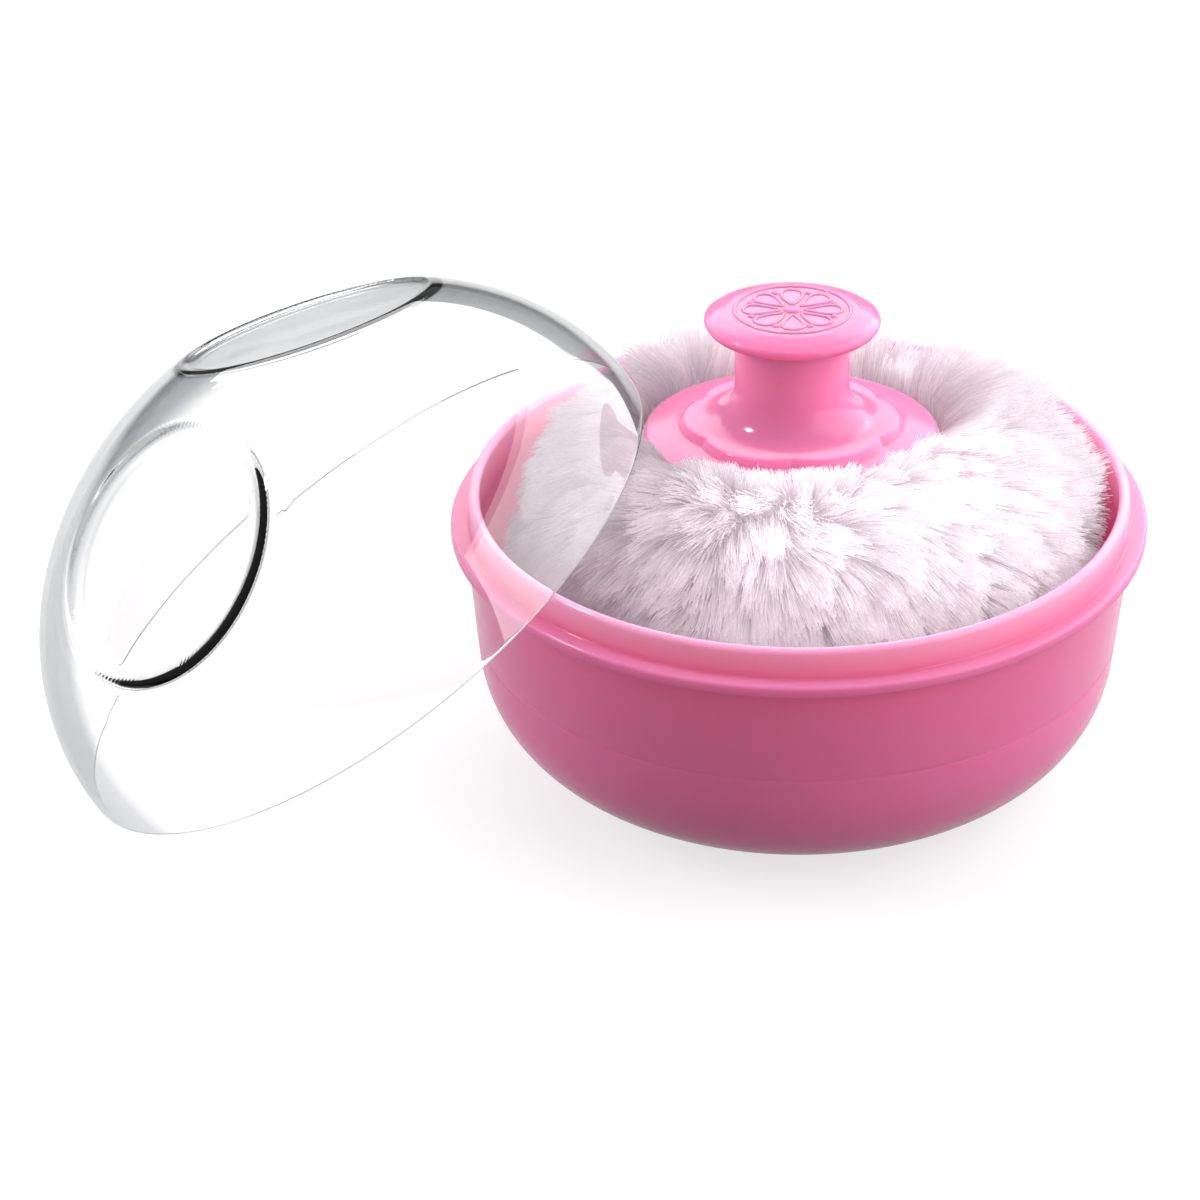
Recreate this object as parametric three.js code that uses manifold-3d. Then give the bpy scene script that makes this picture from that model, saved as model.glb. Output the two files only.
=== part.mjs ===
// Powder puff set for a dressing table: a round bowl, a fluffy puff with a mushroom handle that
// lies in it, and a clear domed lid that has been taken off and leans on the puff.
// Lengths are in millimetres and angles in degrees, with Z up and the table at Z = 0.
import * as THREE from 'three';
import { mergeVertices } from 'three/addons/utils/BufferGeometryUtils.js';
import Module from 'manifold-3d';

const wasm = await Module();
wasm.setup();

// Shared fits
const seatGap = 0.3;              // between pieces that rest on each other
const overrun = 2;                // how far a cutting solid passes the face that it cuts

// Bowl
const ledgeRadius = 57.5;         // outer edge of the ledge that the lid sits on
const ledgeHeight = 44;           // top of the ledge above the table
const ledgeThickness = 2;
const ledgeOverhang = 2.2;        // how far the ledge stands out from the wall below it
const ledgeWidth = 2.9;           // flat ring outside the neck
const ledgeRound = 0.6;
const neckRise = 5.2;             // neck above the ledge
const neckWall = 1.9;
const bowlWall = 2.4;
const wallDraft = 7.3;            // lean of the wall from upright
const cornerWidth = 24;           // half axes of the rounded lower corner
const cornerHeight = 22;
const footRise = 1.2;             // hollow under the floor
const footWidth = 4;
const footShare = 0.225;          // where the foot ring leaves the corner, as a share of its width

// Puff: heights above the lowest point of the pile
const puffRoom = 6.5;             // between the pile and the neck of the bowl
const puffWaistHeight = 27;       // where the pile is widest
const puffFlatRadius = 22;
const crownRise = 4.7;            // pile above the clamped fabric
const crownRadius = 31;
const seatHeight = 51.1;          // clamped fabric under the handle
const tuftCount = 8;
const tuftDepth = 0.9;
const fabricThickness = 2.5;
const mouthRadius = 7;            // hole in the fabric for the screw boss
const coreRadius = 27;
const pileDepth = 16;             // pile under the foam
const coreRound = 5;
const puffLean = 4;               // the puff lies tipped back a little
const puffStepX = -1.1;
const puffStepY = -1.5;

// Main swell of the pile, with turns in degrees round its axis from the front by the right
const freeRise = 2.6;             // how much taller the pile is where no lid presses it
const pressedTurn = 276;
const pressedWidth = 49;
const tuftReach = 4.2;            // big tuft at the right that spreads towards the bowl's wall
const tuftTurn = 82;
const tuftWidth = 42;
const partingDepth = 5;           // parting of the pile behind that tuft
const partingTurn = 136;
const partingWidth = 13;

// Clamp under the handle
const plateRadius = 18;
const plateThickness = 1.2;
const screwRadius = 1.5;
const screwHeadRadius = 3.5;
const screwHeadThickness = 2.2;
const screwGrip = 8;              // length of screw inside the boss
const cordRadius = 0.8;
const cordRingRadius = 9.5;

// Handle
const flangeRadius = 24.2;
const flangeEdge = 1.6;
const flangeFoot = 3.2;           // width of the ring that presses on the fabric
const flangeWall = 2;
const collarRadius = 17;          // scalloped collar on the flange
const collarRise = 1.4;
const collarLobes = 6;
const collarDepth = 0.8;
const collarSlope = 1;            // rise of the flange from its edge to the collar
const stemRadius = 9.4;
const stemWall = 2;
const stemHeight = 18.3;          // from the flange's underside to the top of the stem
const flareWidth = 6;
const flareHeight = 6.5;
const bossRadius = 4.2;
const socketDepth = 4.2;
const webThickness = 2;

// Head of the handle
const headRadius = 14.5;
const headThickness = 4.5;
const headNeck = 1.1;             // how far the head's foot stands out from the stem
const headRound = 1.7;
const headDish = 0.7;             // fall of the top face from the rosette to the edge
const spigotLength = 3.8;
const rosetteRadius = 9.8;
const petalCount = 8;
const petalStart = 2.9;
const petalHalfWidth = 2.35;
const petalLine = 0.7;            // width of the raised line round a petal
const reliefRise = 0.5;
const buttonRadius = 1.7;

// Lid
const lidWall = 2.2;
const lidFit = 0.4;               // between the lid and the neck of the bowl
const lidSkirt = 1;               // wall of the lid at its rim
const headRoom = 8.6;             // above the head when the lid is on
const padTilt = 29;               // direction of each finger pad from the lid's axis
const padTurn = 63.2;             // turn of the pads round the lid's axis
const padRadius = 19.8;
const padSink = 1.1;              // flat face below the crown of the dome
const padFlare = 0.75;            // outward slope of the pad's side, per unit of depth
const padDepth = 8;
const lidStepY = -6.1;
const tableGap = 0.3;

// Fineness of the round shapes
const bowlSides = 72;
const lidSides = 56;
const handleSides = 48;
const puffSides = 48;
const smallSides = 24;

// Materials
function plastic(colour, roughness) {
  return new THREE.MeshStandardMaterial({ color: colour, roughness, metalness: 0 });
}

const pinkPlastic = 0xf07fb2;
const clearPlastic = 0xe9eef2;
const whitePlastic = 0xf2f2f0;
const whitePile = 0xfaf3f6;
const foamWhite = 0xf2ead8;
const cordWhite = 0xf6f1f3;
const steelGrey = 0xb8bcc2;

// Shapes in a profile are pairs of radius and height
function at(radius, height) {
  return new THREE.Vector2(radius, height);
}

// Points along an arc of an ellipse, ends included, with angles from the outward direction
function arc(centreRadius, centreHeight, halfWidth, halfHeight, from, to, steps) {
  const points = [];
  for (let i = 0; i <= steps; i += 1) {
    const angle = THREE.MathUtils.degToRad(from + (to - from) * i / steps);
    const radius = centreRadius + halfWidth * Math.cos(angle);
    points.push(at(radius, centreHeight + halfHeight * Math.sin(angle)));
  }
  return points;
}

// A turned shape about Z; shift may move a point of the profile by its angle round the axis
function turned(profile, sides, shift) {
  const geometry = new THREE.LatheGeometry(profile, sides);
  const position = geometry.getAttribute('position');
  if (shift) {
    for (let i = 0; i < position.count; i += 1) {
      const side = Math.floor(i / profile.length) % sides;
      const angle = side / sides * 2 * Math.PI;
      const moved = shift(profile[i % profile.length], i % profile.length, angle);
      position.setXYZ(i, moved.x * Math.sin(angle), moved.y, moved.x * Math.cos(angle));
    }
  }
  geometry.rotateX(Math.PI / 2);
  return geometry;
}

// Solids for joining and cutting
function solidOf(geometry) {
  const bare = geometry.clone();
  bare.deleteAttribute('normal');
  bare.deleteAttribute('uv');
  const welded = mergeVertices(bare);
  const index = welded.getIndex().array;
  const corners = [];
  for (let i = 0; i < index.length; i += 3) {
    const [a, b, c] = index.slice(i, i + 3);
    if (a !== b && b !== c && c !== a) {
      corners.push(a, b, c);
    }
  }
  const mesh = new wasm.Mesh({
    numProp: 3,
    vertProperties: new Float32Array(welded.getAttribute('position').array),
    triVerts: new Uint32Array(corners),
  });
  return new wasm.Manifold(mesh);
}

function geometryOf(solid) {
  const mesh = solid.getMesh();
  const geometry = new THREE.BufferGeometry();
  geometry.setAttribute('position', new THREE.BufferAttribute(mesh.vertProperties, 3));
  geometry.setIndex(new THREE.BufferAttribute(mesh.triVerts, 1));
  return geometry;
}

function piece(name, geometry, material) {
  const mesh = new THREE.Mesh(geometry, material);
  mesh.name = name;
  return mesh;
}

// Bowl: sizes that follow from the ledge
const neckRadius = ledgeRadius - ledgeWidth;
const neckInner = neckRadius - neckWall;
const neckTop = ledgeHeight + neckRise;
const ledgeUnder = ledgeHeight - ledgeThickness;
const wallTopRadius = ledgeRadius - ledgeOverhang;
const floorTop = footRise + bowlWall;
const draftSlope = Math.tan(THREE.MathUtils.degToRad(wallDraft));
const cornerEnd = THREE.MathUtils.radToDeg(Math.atan(draftSlope * cornerHeight / cornerWidth));
const cornerEndHeight = cornerHeight - cornerHeight * Math.sin(THREE.MathUtils.degToRad(cornerEnd));
const cornerEndRadius = wallTopRadius - draftSlope * (ledgeUnder - cornerEndHeight);
const cornerCentre = cornerEndRadius - cornerWidth * Math.cos(THREE.MathUtils.degToRad(cornerEnd));
const footRadius = cornerCentre + cornerWidth * footShare;
const cornerStart = THREE.MathUtils.radToDeg(Math.acos(footShare));

// Bowl: foot ring, rounded corner, drafted wall, ledge and a neck with a full round on top
function bowlShell() {
  const innerWidth = cornerWidth - bowlWall;
  const innerHeight = cornerHeight - floorTop;
  const neckMiddle = neckRadius - neckWall / 2;
  const profile = [
    at(0, footRise),
    at(footRadius - footWidth, footRise),
    at(footRadius - footWidth, 0),
    at(footRadius, 0),
    ...arc(cornerCentre, cornerHeight, cornerWidth, cornerHeight, -cornerStart, -cornerEnd, 9),
    at(wallTopRadius, ledgeUnder),
    ...arc(ledgeRadius - ledgeRound, ledgeUnder + ledgeRound, ledgeRound, ledgeRound, -90, 0, 2),
    ...arc(ledgeRadius - ledgeRound, ledgeHeight - ledgeRound, ledgeRound, ledgeRound, 0, 90, 2),
    at(neckRadius, ledgeHeight),
    ...arc(neckMiddle, neckTop - neckWall / 2, neckWall / 2, neckWall / 2, 0, 180, 5),
    at(neckInner, ledgeUnder),
    ...arc(cornerCentre, cornerHeight, innerWidth, innerHeight, -cornerEnd, -90, 8),
    at(0, floorTop),
  ];
  return turned(profile, bowlSides);
}

// Puff: sizes that follow from the bowl and the handle
const puffRadius = neckInner - puffRoom;
const crownHeight = seatHeight + crownRise;
const dimpleRadius = flangeRadius + seatGap;
const cavityTop = seatHeight - fabricThickness;
const plateTop = cavityTop - seatGap;
const plateBottom = plateTop - plateThickness;
const coreTop = plateBottom - seatGap;
const coreBottom = pileDepth + seatGap;
const cavityRadius = coreRadius + seatGap;

// 1 round one turn about the puff's axis and 0 away from it
function lobe(turn, middle, width) {
  const away = THREE.MathUtils.euclideanModulo(turn - middle + 180, 360) - 180;
  return Math.exp(-Math.pow(away / width, 4));
}

// How much the swell lifts the crown of the pile at a turn
function swellRise(turn) {
  const free = freeRise * (1 - lobe(turn, pressedTurn, pressedWidth));
  return free - partingDepth * lobe(turn, partingTurn, partingWidth);
}

// Share of the swell that a point of the skin takes: all on the crown, none at waist and seat
function swellShare(point) {
  const foot = point.x < crownRadius ? seatHeight : puffWaistHeight;
  return THREE.MathUtils.clamp((point.y - foot) / (crownHeight - foot), 0, 1);
}

// Height of the pile's upper side at a radius and turn, with the tallest tufts
function pileTop(radius, turn) {
  if (radius <= dimpleRadius) {
    return seatHeight;
  }
  const lift = tuftDepth + Math.max(0, swellRise(turn));
  if (radius < crownRadius) {
    const share = (crownRadius - radius) / (crownRadius - dimpleRadius);
    return seatHeight + (crownRise + lift) * Math.sqrt(1 - share * share);
  }
  const reach = tuftReach * lobe(turn, tuftTurn, tuftWidth);
  const share = (radius - crownRadius) / (puffRadius + reach + tuftDepth - crownRadius);
  if (share >= 1) {
    return puffWaistHeight;
  }
  const rise = crownHeight + lift - puffWaistHeight;
  return puffWaistHeight + rise * Math.sqrt(1 - share * share);
}

// Pile cover: swelling crown with a big tuft and a parting, drawn in under the handle, with a
// foam pocket
function puffCover() {
  const upper = crownHeight - puffWaistHeight;
  const lowerWidth = puffRadius - puffFlatRadius;
  const dimpleWidth = crownRadius - dimpleRadius;
  const skin = [
    at(0, 0),
    ...arc(puffFlatRadius, puffWaistHeight, lowerWidth, puffWaistHeight, -90, 0, 5),
    ...arc(crownRadius, puffWaistHeight, puffRadius - crownRadius, upper, 0, 90, 5).slice(1),
    ...arc(crownRadius, seatHeight, dimpleWidth, crownRise, 90, 180, 3).slice(1),
  ];
  const profile = [
    ...skin,
    at(mouthRadius, seatHeight),
    at(mouthRadius, cavityTop),
    at(cavityRadius - coreRound, cavityTop),
    at(cavityRadius, cavityTop - coreRound),
    at(cavityRadius, pileDepth + coreRound),
    at(cavityRadius - coreRound, pileDepth),
    at(0, pileDepth),
  ];
  const tufts = (point, index, angle) => {
    if (index >= skin.length - 1 || point.x <= puffFlatRadius) {
      return point;
    }
    const turn = THREE.MathUtils.radToDeg(angle);
    const wave = tuftDepth * Math.cos(tuftCount * angle);
    const high = point.y / crownHeight;
    const share = swellShare(point);
    const reach = tuftReach * lobe(turn, tuftTurn, tuftWidth) * Math.sin(Math.PI * share * share);
    const spread = point.x < crownRadius ? 0 : reach;
    const radius = point.x + wave * (1 - high) + spread;
    return at(radius, point.y + wave * high + share * swellRise(turn));
  };
  return turned(profile, puffSides, tufts);
}

// Foam core with a pocket for the screw's head
function puffCore() {
  const pocketRadius = screwHeadRadius + seatGap;
  const pocketBottom = coreTop - screwHeadThickness - seatGap;
  const profile = [
    at(0, coreBottom),
    at(coreRadius - coreRound, coreBottom),
    at(coreRadius, coreBottom + coreRound),
    at(coreRadius, coreTop - coreRound),
    at(coreRadius - coreRound, coreTop),
    at(pocketRadius, coreTop),
    at(pocketRadius, pocketBottom),
    at(0, pocketBottom),
  ];
  return turned(profile, smallSides * 2);
}

// Washer plate that clamps the fabric up against the handle
function clampPlate() {
  const hole = screwRadius + seatGap;
  const profile = [
    at(hole, plateBottom),
    at(plateRadius, plateBottom),
    at(plateRadius, plateTop),
    at(hole, plateTop),
    at(hole, plateBottom),
  ];
  return turned(profile, smallSides * 2);
}

// Handle: the flange's underside is the reference height for all that follows
const flangeUnder = seatHeight + seatGap;
const stemTop = flangeUnder + stemHeight;
const stemInner = stemRadius - stemWall;
const webTop = stemTop - socketDepth;
const webUnder = webTop - webThickness;

// Round-headed screw, drawn up through the plate into the handle's boss
function clampScrew() {
  const headTop = plateBottom - seatGap;
  const headBottom = headTop - screwHeadThickness;
  const profile = [
    ...arc(0, headTop, screwHeadRadius, headTop - headBottom, -90, 0, 4),
    at(screwRadius, headTop),
    at(screwRadius, flangeUnder + screwGrip - screwRadius),
    at(0, flangeUnder + screwGrip),
  ];
  return turned(profile, smallSides);
}

// Draw cord that gathers the mouth of the cover under the flange
function drawCord() {
  const geometry = new THREE.TorusGeometry(cordRingRadius, cordRadius, 8, smallSides * 2);
  geometry.translate(0, 0, flangeUnder + cordRadius);
  return geometry;
}

// Stem: hollow tube with a web and screw boss, flared into a flange with a scalloped collar
function handleStem() {
  const holeRadius = screwRadius + seatGap;
  const holeTop = flangeUnder + screwGrip + seatGap;
  const edgeTop = flangeUnder + flangeEdge;
  const collarFoot = edgeTop + collarSlope;
  const collarTop = collarFoot + collarRise;
  const bellRadius = flangeRadius - flangeFoot;
  const flareEnd = stemRadius + flareWidth;
  const before = [
    at(0, holeTop),
    at(holeRadius, holeTop),
    at(holeRadius, flangeUnder),
    at(bossRadius, flangeUnder),
    at(bossRadius, webUnder),
    at(stemInner, webUnder),
    at(stemInner, collarTop + flareHeight / 2),
    at(flareEnd - flangeWall, collarTop - flangeWall),
    at(bellRadius, collarFoot - flangeWall),
    at(bellRadius, flangeUnder),
    at(flangeRadius - flangeEdge / 2, flangeUnder),
    ...arc(flangeRadius - flangeEdge / 2, edgeTop - flangeEdge / 2, flangeEdge / 2,
      flangeEdge / 2, -60, 90, 4),
  ];
  const collar = [
    at(collarRadius + collarRise / 2, collarFoot),
    at(collarRadius, collarTop),
  ];
  const after = [
    ...arc(flareEnd, collarTop + flareHeight, flareWidth, flareHeight, 270, 180, 5),
    at(stemRadius, stemTop),
    at(stemInner, stemTop),
    at(stemInner, webTop),
    at(0, webTop),
  ];
  const scallops = (point, index, angle) => {
    const onCollar = index >= before.length && index < before.length + collar.length;
    const wave = onCollar ? collarDepth * Math.cos(collarLobes * angle) : 0;
    return at(point.x + wave, point.y);
  };
  return turned([...before, ...collar, ...after], handleSides, scallops);
}

// Head: a domed button on a spigot, with a rosette of raised petal lines on its flat middle
const headUnder = stemTop + seatGap;
const headTop = headUnder + headThickness;

function petalOutline(start, end, halfWidth) {
  const outline = new THREE.Shape();
  const bend = (end - start) / 3;
  outline.moveTo(start, 0);
  outline.bezierCurveTo(start + bend, halfWidth, end, halfWidth * 2, end, 0);
  outline.bezierCurveTo(end, -halfWidth * 2, start + bend, -halfWidth, start, 0);
  return outline;
}

function rosette() {
  const shape = petalOutline(petalStart, rosetteRadius, petalHalfWidth);
  const lineShare = petalLine / petalHalfWidth;
  const innerHalf = petalHalfWidth * (1 - lineShare);
  shape.holes.push(petalOutline(petalStart + petalLine * 2, rosetteRadius - petalLine, -innerHalf));
  const depth = reliefRise + seatGap;
  const petal = new THREE.ExtrudeGeometry(shape, { depth, bevelEnabled: false, curveSegments: 6 });
  petal.translate(0, 0, headTop - seatGap);
  const button = turned(arc(0, headTop, buttonRadius, reliefRise * 2, -90, 90, 6), smallSides);
  let relief = solidOf(button);
  for (let i = 0; i < petalCount; i += 1) {
    const copy = petal.clone();
    copy.rotateZ(i / petalCount * 2 * Math.PI);
    relief = relief.add(solidOf(copy));
  }
  return relief;
}

function knobHead() {
  const spigotRadius = stemInner - seatGap;
  const waist = headUnder + headThickness / 2;
  const shoulder = headTop - headDish;
  const profile = [
    at(0, headUnder - spigotLength),
    at(spigotRadius, headUnder - spigotLength),
    at(spigotRadius, headUnder),
    at(stemRadius + headNeck, headUnder),
    at(headRadius - headRound / 2, waist - headRound / 2),
    ...arc(headRadius - headRound, shoulder - headRound, headRound, headRound, -20, 70, 4),
    at(rosetteRadius + petalLine, headTop),
    at(0, headTop),
  ];
  return geometryOf(solidOf(turned(profile, handleSides)).add(rosette()));
}

// Lid: half of an ellipsoid that drops over the neck, thin at its rim, with two finger pads
const puffTip = (puffFlatRadius + tuftDepth) * Math.sin(THREE.MathUtils.degToRad(puffLean));
const puffRest = floorTop + seatGap + puffTip;
const lidInnerHeight = puffRest + headTop + reliefRise - ledgeHeight + headRoom;
const lidHeight = lidInnerHeight + lidWall;
const neckAngle = Math.asin(neckRise / lidInnerHeight);
const lidInnerRadius = (neckRadius + lidFit) / Math.cos(neckAngle);
const lidRadius = lidInnerRadius + lidSkirt;

// Distance from the rim's centre to the dome's surface that faces a direction tilted from the axis
function domeReach(halfWidth, height) {
  const tilt = THREE.MathUtils.degToRad(padTilt);
  return Math.hypot(halfWidth * Math.sin(tilt), height * Math.cos(tilt));
}

// Where the same surface lies across that direction
function domeOffset(halfWidth, height) {
  const tilt = THREE.MathUtils.degToRad(padTilt);
  const flat = (halfWidth * halfWidth - height * height) * Math.sin(tilt) * Math.cos(tilt);
  return flat / domeReach(halfWidth, height);
}

// Turns a shape on the Z axis so that it faces along one of the two pads
function facePad(geometry, offset, turn) {
  geometry.translate(offset, 0, 0);
  geometry.rotateY(THREE.MathUtils.degToRad(padTilt));
  geometry.rotateZ(THREE.MathUtils.degToRad(turn));
  return geometry;
}

// Levels a dome under each pad and raises a flat pad with a flared side
function withPads(dome, faceReach, faceRadius, offset) {
  let body = dome;
  const baseRadius = faceRadius + padDepth * padFlare;
  for (const turn of [padTurn, padTurn + 180]) {
    const cutter = new THREE.CylinderGeometry(faceRadius, faceRadius, padDepth, lidSides);
    cutter.rotateX(Math.PI / 2);
    cutter.translate(0, 0, faceReach + padDepth / 2);
    const pad = new THREE.CylinderGeometry(faceRadius, baseRadius, padDepth, lidSides);
    pad.rotateX(Math.PI / 2);
    pad.translate(0, 0, faceReach - padDepth / 2);
    body = body.subtract(solidOf(facePad(cutter, offset, turn)));
    body = body.add(solidOf(facePad(pad, offset, turn)));
  }
  return body;
}

function lidDome() {
  const neckTurn = THREE.MathUtils.radToDeg(neckAngle);
  const outside = turned([at(0, 0), ...arc(0, 0, lidRadius, lidHeight, 0, 90, 11)], lidSides);
  const inside = turned([
    at(0, -overrun),
    at(lidInnerRadius, -overrun),
    at(lidInnerRadius, 0),
    ...arc(0, 0, lidInnerRadius, lidInnerHeight, neckTurn, 90, 9),
  ], lidSides);
  const offset = domeOffset(lidRadius, lidHeight);
  const faceReach = domeReach(lidRadius, lidHeight) - padSink;
  const innerPad = padRadius + padFlare * lidWall - lidWall * Math.hypot(1, padFlare);
  const outer = withPads(solidOf(outside), faceReach, padRadius, offset);
  const inner = withPads(solidOf(inside), faceReach - lidWall, innerPad, offset);
  return geometryOf(outer.subtract(inner));
}

// Assembly: the puff lies tipped back on the bowl's floor
const puff = new THREE.Group();
puff.position.set(puffStepX, puffStepY, puffRest);
puff.rotation.x = -THREE.MathUtils.degToRad(puffLean);
puff.add(piece('puff_cover', puffCover(), plastic(whitePile, 1)));
puff.add(piece('puff_core', puffCore(), plastic(foamWhite, 0.95)));
puff.add(piece('clamp_plate', clampPlate(), plastic(whitePlastic, 0.4)));
puff.add(piece('clamp_screw', clampScrew(), new THREE.MeshStandardMaterial({
  color: steelGrey,
  roughness: 0.3,
  metalness: 1,
})));
puff.add(piece('draw_cord', drawCord(), plastic(cordWhite, 0.9)));
puff.add(piece('handle_stem', handleStem(), plastic(pinkPlastic, 0.28)));
puff.add(piece('knob_head', knobHead(), plastic(pinkPlastic, 0.28)));
puff.updateMatrixWorld(true);

// The lid's tip stops over the edge of the flange, and its low edge stands on the table
const tipX = puffStepX - flangeRadius;

function lidPose(lean) {
  const angle = THREE.MathUtils.degToRad(lean);
  const uphill = new THREE.Vector3(Math.cos(angle), 0, Math.sin(angle));
  const centre = new THREE.Vector3(tipX, lidStepY, tableGap + lidRadius * Math.sin(angle));
  centre.x -= lidRadius * uphill.x;
  return { centre, uphill };
}

// Least height of the rim above the pile and above the bowl at a given lean
function rimClearance(lean) {
  const { centre, uphill } = lidPose(lean);
  const toPuff = puff.matrixWorld.clone().invert();
  const across = new THREE.Vector3(0, 1, 0);
  let least = Infinity;
  for (let i = 0; i < lidSides; i += 1) {
    const angle = i / lidSides * 2 * Math.PI;
    for (const radius of [lidRadius, lidInnerRadius]) {
      const point = centre.clone();
      point.addScaledVector(uphill, radius * Math.cos(angle));
      point.addScaledVector(across, radius * Math.sin(angle));
      const fromAxis = Math.hypot(point.x, point.y);
      if (fromAxis > neckInner - neckWall && fromAxis < ledgeRadius + ledgeOverhang) {
        least = Math.min(least, point.z - neckTop);
      }
      point.applyMatrix4(toPuff);
      const fromStem = Math.hypot(point.x, point.y);
      if (fromStem < puffRadius + tuftDepth) {
        const turn = THREE.MathUtils.radToDeg(Math.atan2(point.x, -point.y));
        least = Math.min(least, point.z - pileTop(fromStem, turn));
      }
    }
  }
  return least;
}

// The lid leans as low as the pile and the bowl let it
function restingLean() {
  let low = 0;
  let high = 90;
  for (let i = 0; i < 40; i += 1) {
    const middle = (low + high) / 2;
    if (rimClearance(middle) < seatGap) {
      low = middle;
    } else {
      high = middle;
    }
  }
  return high;
}

const lidLean = restingLean();
const lid = new THREE.Group();
lid.position.copy(lidPose(lidLean).centre);
lid.rotation.y = -THREE.MathUtils.degToRad(lidLean);
lid.add(piece('lid_dome', lidDome(), new THREE.MeshStandardMaterial({
  color: clearPlastic,
  roughness: 0.05,
  metalness: 0,
  transparent: true,
  opacity: 0.35,
})));

const set = new THREE.Group();
set.add(piece('bowl_shell', bowlShell(), plastic(pinkPlastic, 0.3)));
set.add(puff);
set.add(lid);

// The origin is under the middle of the whole set
const middle = new THREE.Box3().setFromObject(set, true).getCenter(new THREE.Vector3());
set.position.set(-middle.x, -middle.y, 0);

export default set;
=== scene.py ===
"""Powder puff set for a dressing table: a pink bowl, a long-pile puff on a mushroom handle, and
a clear domed lid that leans on the puff. Points and lengths of the pieces are in millimetres, and
piece() turns them into metres. The camera, the lamps and the materials are in metres."""

import math

import bmesh
import bpy
import numpy as np
from mathutils import Matrix, Vector
from mathutils.geometry import delaunay_2d_cdt


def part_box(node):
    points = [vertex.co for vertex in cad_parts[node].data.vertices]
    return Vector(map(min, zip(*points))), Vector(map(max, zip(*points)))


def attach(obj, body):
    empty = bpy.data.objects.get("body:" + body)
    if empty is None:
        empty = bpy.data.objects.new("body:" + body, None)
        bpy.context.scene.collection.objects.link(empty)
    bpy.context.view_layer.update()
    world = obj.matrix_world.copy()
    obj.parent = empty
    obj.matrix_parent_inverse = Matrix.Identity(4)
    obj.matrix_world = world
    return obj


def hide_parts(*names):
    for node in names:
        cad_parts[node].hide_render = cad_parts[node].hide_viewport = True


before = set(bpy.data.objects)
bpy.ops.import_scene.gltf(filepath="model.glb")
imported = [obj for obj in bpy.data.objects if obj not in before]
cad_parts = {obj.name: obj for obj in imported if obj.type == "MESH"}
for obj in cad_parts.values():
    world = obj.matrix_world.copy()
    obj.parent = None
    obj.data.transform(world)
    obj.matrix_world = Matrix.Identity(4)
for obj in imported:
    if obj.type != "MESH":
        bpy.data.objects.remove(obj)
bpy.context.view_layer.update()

scene = bpy.context.scene
MM = 0.001
TAU = 2 * math.pi

# ---- Frames of the three groups: each one's place from the middle of the bowl, and its lean ----
low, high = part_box("bowl_shell")
bowl_axis = Vector(((low.x + high.x) / 2, (low.y + high.y) / 2, 0))
PUFF_PLACE, PUFF_LEAN = Vector((-1.1, -1.5, 5.497)), math.radians(4)
LID_PLACE, LID_LEAN = Vector((-71.3585, -6.1, 32.7979)), math.radians(35.206)
BOWL = Matrix.Translation(bowl_axis)
PUFF = Matrix.Translation(bowl_axis + PUFF_PLACE * MM) @ Matrix.Rotation(-PUFF_LEAN, 4, "X")
LID = Matrix.Translation(bowl_axis + LID_PLACE * MM) @ Matrix.Rotation(-LID_LEAN, 4, "Y")

# ---- Camera: long lens from the front, 29.5 degrees above the table ----
CAMERA_DISTANCE, CAMERA_LENS = 1.5, 272.1
CAMERA_RISE = math.radians(29.5)
target = Vector((bowl_axis.x - 0.03246, bowl_axis.y, 0.02764))
camera_data = bpy.data.cameras.new("camera")
camera_data.sensor_width = 36
camera_data.lens = CAMERA_LENS
camera = bpy.data.objects.new("camera", camera_data)
back = Vector((0, -math.cos(CAMERA_RISE), math.sin(CAMERA_RISE)))
camera.location = target + back * CAMERA_DISTANCE
camera.rotation_mode = "QUATERNION"
camera.rotation_quaternion = (-back).to_track_quat("-Z", "Y")
scene.collection.objects.link(camera)
scene.camera = camera


# ---- Helpers ----
def adder(tree):
    """The function that adds a node to a tree. The mode is its operation or its kind of data, and
    its inputs are set or linked by name or number."""

    def add(kind, inputs=None, mode=None, **settings):
        made = tree.nodes.new(kind)
        if mode:
            setattr(made, "operation" if hasattr(made, "operation") else "data_type", mode)
        for name, value in settings.items():
            setattr(made, name, value)
        for name, value in (inputs or {}).items():
            if isinstance(value, bpy.types.Node):
                value = next(s for s in value.outputs if s.enabled)
            if isinstance(value, bpy.types.NodeSocket):
                tree.links.new(value, made.inputs[name])
            else:
                made.inputs[name].default_value = value
        return made

    return add


def linear(code):
    """An sRGB hex colour as linear RGBA."""
    parts = [int(code[i : i + 2], 16) / 255 for i in (1, 3, 5)]
    return (*[c / 12.92 if c <= 0.04045 else ((c + 0.055) / 1.055) ** 2.4 for c in parts], 1)


def material(name):
    """An empty material, and the function that adds its nodes."""
    made = bpy.data.materials.new(name)
    made.use_nodes = True
    made.node_tree.nodes.clear()
    return made, adder(made.node_tree)


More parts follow.
